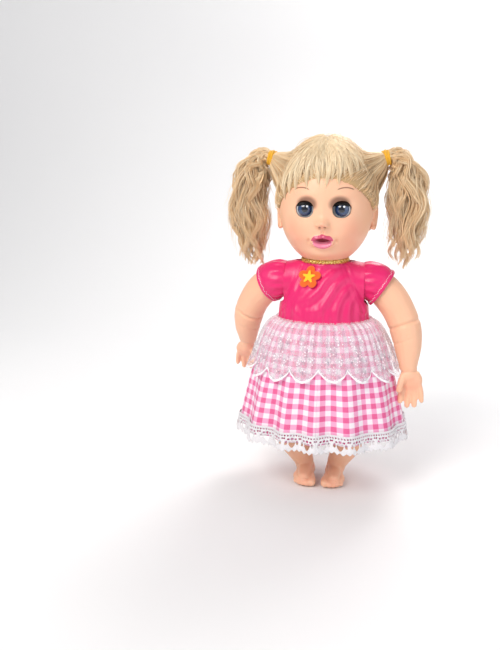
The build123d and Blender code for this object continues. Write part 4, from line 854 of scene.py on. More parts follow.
class DOLL_OT_arms(Operator):
    """Makes the chubby arms and hands"""
    bl_idname = "doll.arms"
    bl_label = "Arms"

    def execute(self, context):
        for side, sign, swing in (("left", 1, 0.0), ("right", -1, SWING)):
            def at(x, y, z):
                return tuple(turned([arm_point(sign, x, y, z)], SHOULDER, swing)[0])

            line = turned(arm_line(sign), SHOULDER, swing)
            balls = balls_along(line, 90)
            tilt = Matrix.Rotation(math.radians(swing), 4, "X")
            balls += [(at(43.0, -10, -85), (9.6, 5.2, 10.2), tilt), (at(42.6, -9.6, -79.5), (7.6, 5.6, 6.5), tilt),
                      (at(38.4, -11.6, -81.5), (4.2, 4.4, 5.6), tilt)]
            fingers = ((-7.2, -89, -96, -103.0, 2.75), (-2.3, -91, -98.5, -106.6, 2.9), (2.7, -91, -98.3, -106, 2.85),
                       (7.5, -88, -94.5, -101.6, 2.5))
            for fx, root, knuckle, tip, r in fingers:
                joint_line = [(*at(43 + fx * 0.86, -10.2, root), r * 1.08), (*at(43 + 1.12 * fx, -11.6, knuckle), r),
                              (*at(43 + 1.24 * fx, -13.8, tip), r * 0.84)]
                balls += balls_along(joint_line, 16)
            thumb = [(*at(37.4, -11.5, -78), 3.6), (*at(34.4, -15.0, -84.5), 3.2), (*at(32.6, -18.4, -91.5), 2.7)]
            balls += balls_along(thumb, 14)
            finish, _, _ = vinyl(f"{side} arm vinyl", [(*at(36, -4, -42), 15, 0.18), (*at(43, -12, -88), 13, 0.30)])
            arm = fused(f"{side}_arm_vinyl", balls, finish.material, body_set().skin_voxel, 5)
            co, no = read_mm(arm.data), normals_of(arm.data)
            down = np.array(at(36, -4, -40)) - np.array(at(30.3, -2, -26))
            co = groove(co, no, at(34.6, -3.2, -36), down, 1.5, 1.6, (0, -1, 0.2))
            co = groove(co, no, at(37.6, -5.2, -49), down, 1.1, 0.5, (-sign, -0.6, 0))
            co = groove(co, no, at(40.2, -9.2, -76.5), (0.1 * sign, -0.1, -1), 1.0, 0.9)
            for fx, root, knuckle, tip, r in fingers:
                co = hump(co, no, at(43 + 1.0 * fx, -6.5, root + 1.5), (1.3, 1.3, 1.3), -0.45)
                co = hump(co, no, at(43 + 1.12 * fx, -11.4, tip - 0.8), (1.35, 1.6, 1.7), -0.28)
            write_mm(arm.data, co)
            keep_side(arm, (sign * SHOULDER[0], 0, 0), (-sign, 0, 0), fill=True)
            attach(arm, f"{side}_arm")
            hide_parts(f"{side}_arm")
        return {"FINISHED"}


class DOLL_OT_legs(Operator):
    """Makes the bent baby legs and bare feet"""
    bl_idname = "doll.legs"
    bl_label = "Legs"

    def execute(self, context):
        for side, sign in (("left", 1), ("right", -1)):
            line = [(sign * (HIP[0] + 3.3), 0, HIP[2], 18.4), (sign * 27, -1, HIP[2] - 7, 18.3),
                    (sign * 28, -3, HIP[2] - 21, 17.6), (sign * 29, -5, HIP[2] - 35, 16.0),
                    (sign * 29, -6.5, HIP[2] - 49, 14.8), (sign * 26, -6, HIP[2] - 61, 13.7),
                    (sign * 20.5, -3.5, HIP[2] - 73, 11.3), (sign * 15.8, -0.6, HIP[2] - 84, 9.2),
                    (sign * 14, 0.4, HIP[2] - 91, 8.6)]
            balls = balls_along(line, 90)
            foot = [(sign * 13.4, 2.6, 8.3, 8.2), (sign * 13.2, -4, 8.2, 8.4), (sign * 13.4, -12, 7.2, 8.0),
                    (sign * 13.8, -19, 6.0, 6.6)]
            balls += balls_along(foot, 30)
            balls += [((sign * 13.6, -14, 5.6), (10.2, 10, 5.6)), ((sign * 13.2, 3, 6.2), (8.6, 8.6, 6.4))]
            toes = ((5.9, -24.6, 4.6, 3.7), (10.1, -25.6, 4.2, 3.0), (13.9, -25.0, 4.0, 2.8), (17.3, -23.4, 3.9, 2.6),
                    (20.4, -20.9, 3.7, 2.4))
            for tx, ty, tz, r in toes:
                toe = [(sign * (tx * 0.92 + 1), ty + 7, tz + 0.8, r), (sign * tx, ty + 2.5, tz + 0.6, r),
                       (sign * tx, ty, tz, r * 0.98)]
                balls += balls_along(toe, 12)
            finish, _, _ = vinyl(f"{side} leg vinyl", [(sign * 27, -20, HIP[2] - 52, 14, 0.25),
                                                       (sign * 13, -26, 4, 11, 0.28), (sign * 13, 10, 5, 9, 0.2)])
            leg = fused(f"{side}_leg_vinyl", balls, finish.material, body_set().skin_voxel * 1.1, 5)
            co, no = read_mm(leg.data), normals_of(leg.data)
            co = groove(co, no, (sign * 29, -6, HIP[2] - 52), (0, 0, 1), 1.6, 1.2, (0, 1, 0))
            co = groove(co, no, (sign * 15, 0, HIP[2] - 86.5), (0.1, -0.25, 1), 1.1, 0.9)
            for tx, ty, tz, r in toes:
                co = hump(co, no, (sign * tx, ty - 1.2, tz + r * 0.9), (1.3, 1.5, 1.0), -0.32)
            # The soles are flat, and the thigh is cut round to clear the pelvis.
            co[:, 2] = np.where(co[:, 2] < 0.7, np.maximum(co[:, 2] * 0.25, 0.02), co[:, 2])
            away = np.hypot(co[:, 1], co[:, 2] - HIP[2])
            lap = (co[:, 1] < 1.0) & (co[:, 2] > HIP[2] - 21.4)
            inner = (np.abs(co[:, 0]) < HIP[0]) & ((away < 21.3) | lap)
            co[inner, 0] = sign * HIP[0]
            write_mm(leg.data, co)
            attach(leg, f"{side}_leg")
            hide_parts(f"{side}_leg")
        return {"FINISHED"}


# ------------------------------------------------------------ hair
def unit(v):
    return v / np.linalg.norm(v, axis=-1, keepdims=True)


def egg_radius(direction, grow):
    """Distance from the skull's centre to its egg grown by grow, along unit directions."""
    high = np.where(direction[..., 2] > 0, 56.0, 50.5) + grow
    return 1 / np.sqrt((direction[..., 0] / (40.3 + grow)) ** 2 + (direction[..., 1] / (42.5 + grow)) ** 2
                       + (direction[..., 2] / high) ** 2)


def scalp(direction):
    """Whether hair grows in these directions from the skull's centre."""
    p = SKULL + direction * egg_radius(direction, 3.0)[..., None]
    z = p[..., 2] - EQUATOR
    line = 47 * (p[..., 1] - 14) + 54 * (z + 24) > 0
    ear = np.hypot(p[..., 1] - 4, z + 9) > 11.5
    return line & (z > -36) & ear


def slerp(a, b, t):
    """Directions from a to b, for every share in t."""
    angle = np.arccos(np.clip(a @ b, -1, 1))
    w = t[:, None]
    return (np.sin((1 - w) * angle) * a + np.sin(w * angle) * b) / max(math.sin(angle), 1e-6)


class DOLL_OT_crown(Operator):
    """Makes the scalp and the strands combed from the parting to the two bands"""
    bl_idname = "doll.crown"
    bl_label = "Crown hair"

    def execute(self, context):
        s = hair_set()
        rng = np.random.default_rng(11)
        bm = bmesh.new()
        bmesh.ops.create_uvsphere(bm, u_segments=150, v_segments=110, radius=1.0)
        way = unit(np.array([v.co for v in bm.verts]))
        co = SKULL + way * egg_radius(way, 2.1)[:, None]
        keep = scalp(way)
        for vert, place in zip(bm.verts, co):
            vert.co = Vector(place) * MM
        bm.verts.ensure_lookup_table()
        bmesh.ops.delete(bm, geom=[v for v, k in zip(bm.verts[:], keep) if not k], context="VERTS")
        edge = {v for e in bm.edges if e.is_boundary for v in e.verts}
        for vert in edge:
            here = unit(np.array(vert.co) / MM - SKULL)
            vert.co = Vector(SKULL + here * egg_radius(here, 0.4)) * MM
        # The cap under the strands is darker than any strand: painted shade deep in the hair between them.
        cap = bm_object("scalp_hair", bm, thread_finish("hair roots", (0.62, 0.40, 0.19), 2.0, 0.6))
        shell = cap.modifiers.new("shell", "SOLIDIFY")
        shell.thickness = 0.5 * MM
        shell.offset = -1
        settle(cap)
        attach(cap, "head")
        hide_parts("hair_cap")
        material = hair_finish()
        for side, sign in (("left", 1), ("right", -1)):
            tie = np.array([sign * TIE[0], TIE[1], TIE[2]])
            out = unit(np.array([sign * 1.0, 0.0, 0.2]))
            aim = unit(tie - SKULL)
            far = np.linalg.norm(tie - SKULL)
            gate = unit(np.array([sign * 30.0, 9.0, 28.0]))
            up = unit(np.cross(out, [0.0, 1.0, 0.0]))
            lines, thick = [], []
            t = np.linspace(0, 1, 14)
            tries = 0
            while len(lines) < s.cap_strands and tries < s.cap_strands * 12:
                tries += 1
                way = unit(rng.normal(size=3))
                way[0] = sign * abs(way[0])
                # More roots on the parting and along the hairline, where they show.
                pick = rng.random()
                if pick < 0.22:
                    way = unit(np.array([sign * rng.uniform(0.0, 0.03), rng.uniform(-0.72, 0.95), 0.0])
                               + np.array([0, 0, 1.0]) * rng.uniform(0.2, 1.3))
                if not scalp(way):
                    continue
                root_gap = np.linalg.norm(way - aim)
                lift = rng.uniform(2.2, 4.3)
                path = slerp(way, aim, t)
                surf = egg_radius(path, lift)
                rise = np.clip((t - 0.45) / 0.55, 0, 1)
                rise = rise**2 * (3 - 2 * rise)
                # Converge on the band from wherever the root lies.
                side_way = unit((way - aim) - ((way - aim) @ aim) * aim)
                disc = 3.9 * math.sqrt(rng.random())
                end = tie + (side_way - (side_way @ out) * out) * disc
                line = SKULL + path * surf[:, None]
                sag = 1.0 + rng.normal() * 0.5
                sway = np.sin(t * math.pi)[:, None] * np.cross(path, aim) * rng.normal() * 1.3
                line = line * (1 - rise[:, None]) + (SKULL + path * (surf * (1 - rise) + far * rise)[:, None]
                                                     ) * rise[:, None]
                line = line + sway + (end - line[-1])[None, :] * (t**3)[:, None]
                line[0] = SKULL + way * egg_radius(way, 1.0)
                lines.append(line)
                thick.append(np.full(14, 1.0))
            comb = strands(f"{side}_combed_hair", lines, thick, material, s.strand * 1.15)
            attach(comb, "head")
        # A few loose hairs over the crown.
        lines, thick = [], []
        t = np.linspace(0, 1, 12)
        for k in range(110):
            way = unit(np.array([rng.uniform(-0.7, 0.7), rng.uniform(-0.6, 0.8), rng.uniform(0.5, 1.0)]))
            if not scalp(way):
                continue
            goal = unit(way + np.array([rng.uniform(-0.5, 0.5), rng.uniform(-0.4, 0.4), rng.uniform(-0.5, 0.1)]))
            path = slerp(way, goal, t)
            rise = 2.5 + np.sin(t * math.pi) * rng.uniform(1.0, 3.6) + t * rng.uniform(0, 1.5)
            lines.append(SKULL + path * np.array([egg_radius(p, r) for p, r in zip(path, rise)])[:, None])
            thick.append(taper(12, 0.3))
        loose = strands("loose_hair", lines, thick, material, s.strand * 0.7)
        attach(loose, "head")
        return {"FINISHED"}


class DOLL_OT_fringe(Operator):
    """Makes the wispy locks over the forehead"""
    bl_idname = "doll.fringe"
    bl_label = "Fringe"

    def execute(self, context):
        s = hair_set()
        rng = np.random.default_rng(5)
        t = np.linspace(0, 1, 18)
        ends = (-34, -30, -24.5, -21, -15, -11, -5.5, -2, 4, 8, 13.5, 17.5, 23, 28, 32)
        drops = (3, 8, 10.5, 16.5, 13, 19, 15.5, 20.5, 14.5, 18.5, 16, 20, 17.5, 21.5, 24)
        lines, thick = [], []
        share = s.fringe_strands // len(ends)
        for x_end, drop in zip(ends, drops):
            for k in range(share):
                spread = rng.normal() * 0.8
                bunch = 1 - 0.62 * t**1.6
                root = unit(np.array([x_end * 0.14 + rng.normal() * 2.4, -22 + rng.normal() * 4.0, 50.0]))
                tip_x = x_end
                tip_z = drop + rng.normal() * 0.8 + abs(spread) * 2.4 + (4.0 * rng.random() if k % 4 == 0 else 0.0)
                tip_y = -42.5 * math.sqrt(max(1 - (tip_x / 40.3) ** 2 - (tip_z / 56) ** 2, 0.02))
                tip = unit(np.array([tip_x, tip_y, tip_z]))
                path = slerp(root, tip, t)
                mid = np.sin(t * math.pi)
                body = 4.3 + rng.uniform(0, 2.4)
                grow = body * (1 - t**2.2) + 0.9 * t**2.2 + mid * 0.7
                curl = math.copysign(1, x_end + 0.5) * 2.6 * np.sin(t * math.pi * 1.35) * t
                line = SKULL + path * np.array([egg_radius(p, g) for p, g in zip(path, grow)])[:, None]
                line[:, 0] += curl + spread * bunch * np.clip(t * 3, 0, 1) * 1.9
                lines.append(line)
                thick.append(taper(18, 0.3))
        # The fringe's hair is lifted halfway to the light strands: a painted highlight on the locks over the forehead.
        fringe = strands("fringe_locks", lines, thick, hair_finish("fringe hair", 0.5), s.strand * 1.1)
        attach(fringe, "head")
        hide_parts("fringe")
        return {"FINISHED"}


class DOLL_OT_pigtails(Operator):
    """Makes the two wavy pigtails"""
    bl_idname = "doll.pigtails"
    bl_label = "Pigtails"

    def execute(self, context):
        s = hair_set()
        material = hair_finish("pigtail hair")
        stations = [(-3.5, 0, -0.8, 3.6), (0, 0, 0, 3.9), (6, 0.5, 2.0, 5.6), (12.5, 2, -2.5, 9.4), (18, 4, -16, 14.5),
                    (21, 5.5, -36, 18.0), (20.5, 7, -58, 17.6), (19, 8.5, -78, 15.0), (17.5, 10, -94, 10.0)]
        count = 40
        for side, sign in (("left", 1), ("right", -1)):
            rng = np.random.default_rng(20 + sign)
            spine = lane_points(stations, count)
            centre = spine[:, :3] * np.array([sign, 1, 1]) + np.array([sign * TIE[0], TIE[1], TIE[2]])
            ahead = unit(np.gradient(centre, axis=0))
            across = unit(np.cross(ahead, np.array([0.0, 1.0, 0.0])))
            over = unit(np.cross(across, ahead))
            t = np.linspace(0, 1, count)
            lines, thick = [], []
            clumps = 44
            share = 2 * s.tail_strands // clumps
            for c in range(clumps):
                ring = math.sqrt((c + 0.5) / clumps) * 0.86
                angle = c * 2.399963 + 0.4
                phase = rng.uniform(0, 6.28)
                turns = rng.uniform(3.0, 5.2) * rng.choice([-1, 1])
                bulk = rng.uniform(2.2, 4.2)
                stop = rng.uniform(0.72, 1.05)
                for k in range(share):
                    own = math.sqrt(rng.random()) * 0.27
                    own_angle = rng.uniform(0, 6.28)
                    length = stop - abs(rng.normal()) * 0.035
                    where = np.clip(t * length, 0, 1)
                    slot = where * (count - 1)
                    low = np.minimum(slot.astype(int), count - 2)
                    part = (slot - low)[:, None]

                    def along(rows):
                        return rows[low] * (1 - part) + rows[low + 1] * part

                    radius = along(spine[:, 3:4])
                    pull = 1 - 0.72 * np.clip((t - 0.55) / 0.45, 0, 1) ** 1.5
                    a = ring * np.cos(angle + 0.9 * where) + own * pull * np.cos(own_angle)
                    b = ring * np.sin(angle + 0.9 * where) + own * pull * np.sin(own_angle)
                    wave = np.clip(where * 2.6, 0, 1) ** 1.5 * bulk
                    a = a[:, None] * radius + (wave * np.sin(turns * 6.283 * where + phase))[:, None]
                    b = b[:, None] * radius + (wave * np.cos(turns * 6.283 * where + phase))[:, None]
                    line = along(centre) + a * along(across) + b * along(over)
                    line += np.cumsum(rng.normal(size=(count, 3)) * 0.05, axis=0)
                    lines.append(line)
                    thick.append(taper(count, 0.35, 1.0))
            half = len(lines) // 2
            for layer, first, last in (("inner", 0, half), ("outer", half, len(lines))):
                tail = strands(f"{side}_{layer}_curls", lines[first:last], thick[first:last], material, s.strand * 1.15)
                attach(tail, "head")
            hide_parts(f"{side}_pigtail")
            # Short stray ends round the outside.
            lines, thick = [], []
            for k in range(70):
                start = rng.uniform(0.15, 0.8)
                reach = rng.uniform(0.10, 0.26)
                angle = rng.uniform(0, 6.28)
                where = np.clip(start + np.linspace(0, reach, 12), 0, 1)
                slot = where * (count - 1)
                low = np.minimum(slot.astype(int), count - 2)
                part = (slot - low)[:, None]
                radius = (spine[low, 3:4] * (1 - part) + spine[low + 1, 3:4] * part)
                flare = np.linspace(0.84, rng.uniform(1.05, 1.35), 12)[:, None]
                twist = angle + np.linspace(0, rng.uniform(-0.9, 0.9), 12)[:, None]
                line = (centre[low] * (1 - part) + centre[low + 1] * part
                        + across[low] * radius * flare * np.cos(twist) + over[low] * radius * flare * np.sin(twist))
                lines.append(line)
                thick.append(taper(12, 0.3))
            stray = strands(f"{side}_stray_hair", lines, thick, material, s.strand * 0.8)
            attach(stray, "head")
        return {"FINISHED"}


def ring_mesh(centre, axis, major, profile, steps):
    """A closed ring: profile is (out, along) points in mm turned about an axis."""
    axis = Vector(axis).normalized()
    side = axis.orthogonal().normalized()
    bm = bmesh.new()
    bmesh.ops.create_circle(bm, segments=len(profile), radius=1.0)
    bm.verts.ensure_lookup_table()
    base = Vector(centre) * MM
    for vert, (out, along) in zip(bm.verts, profile):
        vert.co = base + (side * (major + out) + axis * along) * MM
    bmesh.ops.spin(bm, geom=bm.verts[:] + bm.edges[:], cent=base, axis=axis, dvec=(0, 0, 0), angle=2 * math.pi,
                   steps=steps, use_merge=True, use_duplicate=False)
    bmesh.ops.recalc_face_normals(bm, faces=bm.faces[:])
    return bm


class DOLL_OT_bands(Operator):
    """Makes the ribbed elastic bands round the pigtails"""
    bl_idname = "doll.bands"
    bl_label = "Hair bands"

    def execute(self, context):
        material = thread_finish("yellow elastic", hair_set().band, 2.6, 0.6)
        for side, sign in (("left", 1), ("right", -1)):
            axis = unit(np.array([sign * 1.0, 0.0, 0.2]))
            centre = np.array([sign * TIE[0], TIE[1], TIE[2]])
            whole = bmesh.new()
            for shift, major, minor in ((-2.3, 5.2, 1.4), (0.1, 5.5, 1.5), (2.4, 5.1, 1.35)):
                profile = [(minor * math.cos(a), minor * math.sin(a)) for a in np.linspace(0, 2 * math.pi, 13)[:-1]]
                bm = ring_mesh(centre + axis * shift, axis, major, profile, 120)
                middle = centre + axis * shift
                for vert in bm.verts:
                    away = np.array(vert.co) / MM - middle
                    flat = away - (away @ axis) * axis
                    ring = flat / np.linalg.norm(flat) * major
                    angle = math.atan2(flat[1], flat @ np.cross(axis, [0, 1, 0]))
                    swell = 1 + 0.10 * math.cos(angle * 30 + shift)
                    vert.co = Vector(middle + ring + (away - ring) * swell) * MM
                mesh = bpy.data.meshes.new("loop")
                bm.to_mesh(mesh)
                bm.free()
                whole.from_mesh(mesh)
                bpy.data.meshes.remove(mesh)
            band = bm_object(f"{side}_elastic", whole, material)
            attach(band, "head")
            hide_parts(f"{side}_hair_band")
        return {"FINISHED"}


# ------------------------------------------------------------ dress
def satin_folds(co, no):
    """Soft drawn folds across the front of the bodice."""
    x, y, z = co[:, 0], co[:, 1], co[:, 2] - TRUNK[2]
    front = np.clip((-y - 2) / 12, 0, 1)
    lift = np.zeros(len(co))
    for x0, z0, x1, z1, width, height in ((16, 52, -20, 20, 3.2, 1.25), (20, 46, -8, 12, 3.0, 1.05),
                                          (4, 54, -25, 30, 2.8, 0.95), (24, 38, 8, 8, 2.8, 0.85),
                                          (-18, 50, -28, 24, 2.4, 0.7), (27, 30, 22, 8, 2.6, 0.8),
                                          (-26, 20, -14, 7, 2.6, 0.8)):
        run = np.array([x1 - x0, z1 - z0], float)
        length_ = np.linalg.norm(run)
        run /= length_
        along = (x - x0) * run[0] + (z - z0) * run[1]
        off = -(x - x0) * run[1] + (z - z0) * run[0] + 1.6 * np.sin(along / 7.0)
        env = np.clip(along / 8, 0, 1) * np.clip((length_ - along) / 12, 0, 1)
        lift += height * env * (np.exp(-(off / width) ** 2) - 0.7 * np.exp(-((off - 1.9 * width) / width) ** 2))
    back = 1 - front
    turn = np.arctan2(x, -y)
    gather = np.clip(1 - (z - 6) / 18, 0, 1)
    lift = lift * front + 0.5 * np.cos(turn * 26 + 1.5 * np.sin(turn * 5)) * gather
    lift += back * 0.5 * np.cos(turn * 9 + z / 9) * np.clip((50 - z) / 20, 0, 1)
    return co + no * lift[:, None]


class DOLL_OT_bodice(Operator):
    """Makes the satin bodice with its seams and drawn folds"""
    bl_idname = "doll.bodice"
    bl_label = "Bodice"

    def execute(self, context):
        s = dress_set()
        satin = satin_finish()
        balls = [(tuple(TRUNK), (40.9, 30.9, 62.0)), ((0, 2, TORSO_TOP - 3), (20.2, 20.2, 9))]
        for sign in (1, -1):
            balls += balls_along([(sign * 10, 2, SHOULDER[2] + 8, 13.5), (sign * 20, 2, SHOULDER[2] + 3.5, 15.4),
                                  (sign * 32, 2, SHOULDER[2], 16.6), (sign * 40, 2, SHOULDER[2], 16.9)], 14)
        bodice = fused("satin_bodice", balls, satin, 1.0 * MM, 10)
        keep_side(bodice, (0, 0, WAIST - 4.0), (0, 0, -1))
        keep_side(bodice, (0, 0, TORSO_TOP - 0.3), (0, 0, 1))
        for sign in (1, -1):
            keep_armhole(bodice, sign)
        co, no = read_mm(bodice.data), normals_of(bodice.data)
        co = satin_folds(co, no)
        # Raglan seams from neck to underarm.
        for sign in (1, -1):
            line = lane_points([(sign * 19, -12, TORSO_TOP - 4), (sign * 24, -20, TORSO_TOP - 16),
                                (sign * 30.5, -21, TORSO_TOP - 32), (sign * 35, -14, TORSO_TOP - 42)], 60)
            for pulled, depth in ((line, 0.9),):
                near = np.min(np.linalg.norm(co[:, None, :] * [1, 0.4, 1] - pulled[None, :, :] * [1, 0.4, 1], axis=2),
                              axis=1)
                co = co - no * (depth * np.exp(-(near / 0.9) ** 2) - 0.5 * np.exp(-((near - 2.4) / 1.2) ** 2))[:, None]
        write_mm(bodice.data, co)
        wall = bodice.modifiers.new("wall", "SOLIDIFY")
        wall.thickness = s.cloth
        wall.offset = -1
        settle(bodice)
        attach(bodice, "torso")
        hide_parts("bodice")
        self.declare(bodice)
        return {"FINISHED"}

    def declare(self, piece):
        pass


class DOLL_OT_sleeves(Operator):
    """Makes the cap sleeves, which turn with the arms"""
    bl_idname = "doll.sleeves"
    bl_label = "Cap sleeves"

    def execute(self, context):
        s = dress_set()
        satin = satin_finish("sleeve satin")
        stitch = thread_finish("pale stitches", s.lace, 3.0)
        for side, sign, swing in (("left", 1, 0.0), ("right", -1, SWING)):
            rows = arm_line(sign)[:5]
            grown = [(x, y, z, r + 2.9 - 0.25 * k) for k, (x, y, z, r) in enumerate(rows)]
            grown[0] = (*grown[0][:3], 15.5)
            grown[2] = (grown[2][0], grown[2][1], grown[2][2] + 0.6, grown[2][3] + 0.5)
            sleeve = fused(f"{side}_cap_sleeve", balls_along(turned(grown, SHOULDER, swing), 40), satin, 0.8 * MM, 8)
            keep_side(sleeve, (sign * (SHOULDER[0] - 1.1), 0, 0), (-sign, 0, 0))
            hem = turned([arm_point(sign, 22, 0, 4)], SHOULDER, swing)[0]
            lean = turned([SHOULDER + np.array([sign * 0.83, 0, -0.56])], SHOULDER, swing)[0] - SHOULDER
            keep_side(sleeve, hem, lean)
            co, no = read_mm(sleeve.data), normals_of(sleeve.data)
            away = (co - hem) @ unit(lean)
            # A turned hem, a stitched groove and soft gathers from the shoulder seam.
            co = co + no * (0.55 * np.exp(-((away + 1.6) / 1.5) ** 2) - 0.45 * np.exp(-((away + 4.2) / 0.8) ** 2))[:, None]
            turn = np.arctan2(co[:, 1] - SHOULDER[1], co[:, 2] - SHOULDER[2])
            run = np.abs(co[:, 0]) - SHOULDER[0]
            co = co + no * (0.55 * np.cos(turn * 13 + 0.6 * np.sin(turn * 4)) * np.exp(-((run - 5) / 5.5) ** 2))[:, None]
            write_mm(sleeve.data, co)
            edge = self.hem_line(sleeve, hem, unit(lean), -2.9)
            wall = sleeve.modifiers.new("wall", "SOLIDIFY")
            wall.thickness = s.cloth
            wall.offset = -1
            settle(sleeve)
            thread = stitches(f"{side}_sleeve_stitches", edge, stitch, 1.9, 0.6)
            for piece in (sleeve, thread):
                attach(piece, f"{side}_arm")
            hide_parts(f"{side}_sleeve")
        return {"FINISHED"}

    def hem_line(self, obj, point, normal, offset):
        """Points round the sleeve, a little in from its hem, lying on the cloth."""
        co = read_mm(obj.data)
        no = normals_of(obj.data)
        away = (co - point) @ normal - offset
        near = np.abs(away) < 0.6
        ring, up = co[near], no[near]
        middle = ring.mean(axis=0)
        a = unit(np.cross(normal, [0.0, 1.0, 0.0]))
        b = np.cross(normal, a)
        turn = np.arctan2((ring - middle) @ b, (ring - middle) @ a)
        order = np.argsort(turn)
        ring, up = ring[order] + up[order] * 0.12, up[order]
        keep = np.linspace(0, len(ring) - 1, 150).astype(int)
        return ring[keep]


def stitches(name, line, material, pitch, share, radius=0.26):
    """Short threads lying along a line of points."""
    line = np.asarray(line)
    step = np.linalg.norm(np.diff(line, axis=0), axis=1)
    run = np.concatenate([[0], np.cumsum(step)])
    rows, thick = [], []
    for k in range(int(run[-1] / pitch)):
        spots = k * pitch + np.linspace(0, pitch * share, 5)
        row = np.stack([np.interp(spots, run, line[:, i]) for i in range(3)], axis=1)
        rows.append(row)
        thick.append(np.array([0.5, 1.0, 1.1, 1.0, 0.5]))
    return strands(name, rows, thick, material, radius * MM)


def skirt_place(turn, z, grow=0.0, folds=1.0):
    """Where the skirt's cloth lies: turn is the angle from the front, z in mm."""
    fall = np.clip((WAIST - z) / (WAIST - SKIRT_LOW[2]), 0, 1.1)
    s = fall**0.62
    out = (2.7 * np.cos(14 * turn + 1.1 * np.sin(3 * turn + 0.5)) + 0.9 * np.cos(9 * turn + 2.0)) * s**1.6
    out = out + 0.75 * np.cos(46 * turn + 2.0 * np.sin(5 * turn)) * np.exp(-fall / 0.16)
    out = out * folds + 1.0
    tuck = 2.6 * np.exp(-fall / 0.03)
    wide = 42.6 + 30.0 * s + grow + out - tuck
    deep = 31.6 + 25.5 * s + grow + out - tuck
    return np.stack([wide * np.sin(turn), -deep * np.cos(turn), z], axis=-1)


PANELS = (("front_left", 0.0, 55.0, "left"), ("front_right", -55.0, 0.0, "right"), ("rear", 55.0, 305.0, None))


def skirt_grid(start, end, around, rows, place, uv_scale):
    """One panel of a skirt layer, from start to end degrees; place(turn, share) gives points, share 0 at the top."""
    bm = bmesh.new()
    columns = round(around * (end - start) / 360)
    bmesh.ops.create_grid(bm, x_segments=columns, y_segments=rows, size=1.0, calc_uvs=True)
    co = np.array([v.co for v in bm.verts])
    turn = np.radians(start + (co[:, 0] + 1) / 2 * (end - start))
    down = (1 - co[:, 1]) / 2
    layer = bm.loops.layers.uv.verify()
    bm.verts.index_update()
    measure = np.stack([(turn / (2 * math.pi) + 2) * uv_scale[0], (1 - down) * uv_scale[1]], axis=1)
    for face in bm.faces:
        for loop in face.loops:
            loop[layer].uv = measure[loop.vert.index]
    for vert, spot in zip(bm.verts, place(turn, down)):
        vert.co = Vector(spot) * MM
    return bm


def hang(obj, side):
    """Hangs a panel from the waist; the front panels get a mesh of their own."""
    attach(obj, "torso")
    if side:
        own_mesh(obj)


class DOLL_OT_skirt(Operator):
    """Makes the gathered gingham skirt in three panels"""
    bl_idname = "doll.skirt"
    bl_label = "Gingham skirt"

    def execute(self, context):
        s = dress_set()
        gingham = gingham_finish()
        high, low = WAIST, SKIRT_LOW[2]
        rounds = round(0.450 / s.check)
        downs = 0.112 / s.check

        def place(turn, share):
            return skirt_place(turn, high - share * (high - low), 0.0)

        for name, start, end, side in PANELS:
            bm = skirt_grid(start, end, 660, 84, place, (rounds, downs))
            skirt = bm_object(f"gingham_{name}", bm, gingham)
            wall = skirt.modifiers.new("wall", "SOLIDIFY")
            wall.thickness = s.cloth
            wall.offset = -1
            settle(skirt)
            hang(skirt, side)
            if side is None:
                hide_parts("skirt")
        return {"FINISHED"}


class DOLL_OT_overlay(Operator):
    """Makes the sheer scalloped overlay"""
    bl_idname = "doll.overlay"
    bl_label = "Tulle overlay"

    def execute(self, context):
        s = dress_set()
        tulle = tulle_finish()
        high, low = WAIST + 1.6, LACE_LOW[2] - 6.0

        def place(turn, share):
            swing = np.abs(np.sin(turn * 8.0)) ** 0.75
            bottom = low + 9.5 * (1 - swing) + 2.0 * np.sin(turn * 3 + 1)
            z = high - share * (high - bottom)
            puff = 0.9 + 3.4 * np.clip(share * 1.6, 0, 1) + 2.2 * share * np.cos(turn * 16 + math.pi) \
                + 1.2 * np.clip(share * 8, 0.3, 1) * np.cos(turn * 48 + 3 * np.sin(turn * 7)) * np.clip(1.2 - share, 0, 1) \
                + 0.5 * np.sin(turn * 61) * np.clip((share - 0.6) * 2, 0, 1)
            return skirt_place(turn, z, puff)

        for name, start, end, side in PANELS:
            overlay = bm_object(f"tulle_{name}", skirt_grid(start, end, 840, 44, place, (16.0, 1.0)), tulle)
            hang(overlay, side)
            if side is None:
                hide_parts("lace_overlay")
        return {"FINISHED"}


def lace_gap(x, h):
    """True in the holes and beyond the points of the hem lace; x across one repeat, h up from the point."""
    point = np.abs((x + 6.0) % 4.0 - 2.0) / 2.0
    edge = 2.4 * (1 - point) + 1.0 * (np.abs(x) / 6.0) ** 2
    gone = h < edge
    # A heart-shaped eyelet, a pair of leaves and a row of small holes.
    hx, hz = x / 2.2, (h - 6.6) / 2.7
    heart = (hx**2 + (hz - np.abs(hx) * 0.65) ** 2) < 1
    gone |= heart
    gone |= ((np.abs(x) - 3.9) / 0.85) ** 2 + ((h - 8.4 + 0.25 * (np.abs(x) - 3.9)) / 1.7) ** 2 < 1
    gone |= ((np.abs(x) - 2.5) / 0.8) ** 2 + ((h - 11.4) / 0.8) ** 2 < 1
    gone |= (np.abs(x) / 0.9) ** 2 + ((h - 11.6) / 1.1) ** 2 < 1
    gone |= ((np.abs(x) - 5.3) / 0.6) ** 2 + ((h - 12.1) / 0.7) ** 2 < 1
    fine = (x + 6.0) % 2.0 - 1.0
    gone |= (fine / 0.55) ** 2 + ((h - 14.5) / 0.55) ** 2 < 1
    return gone


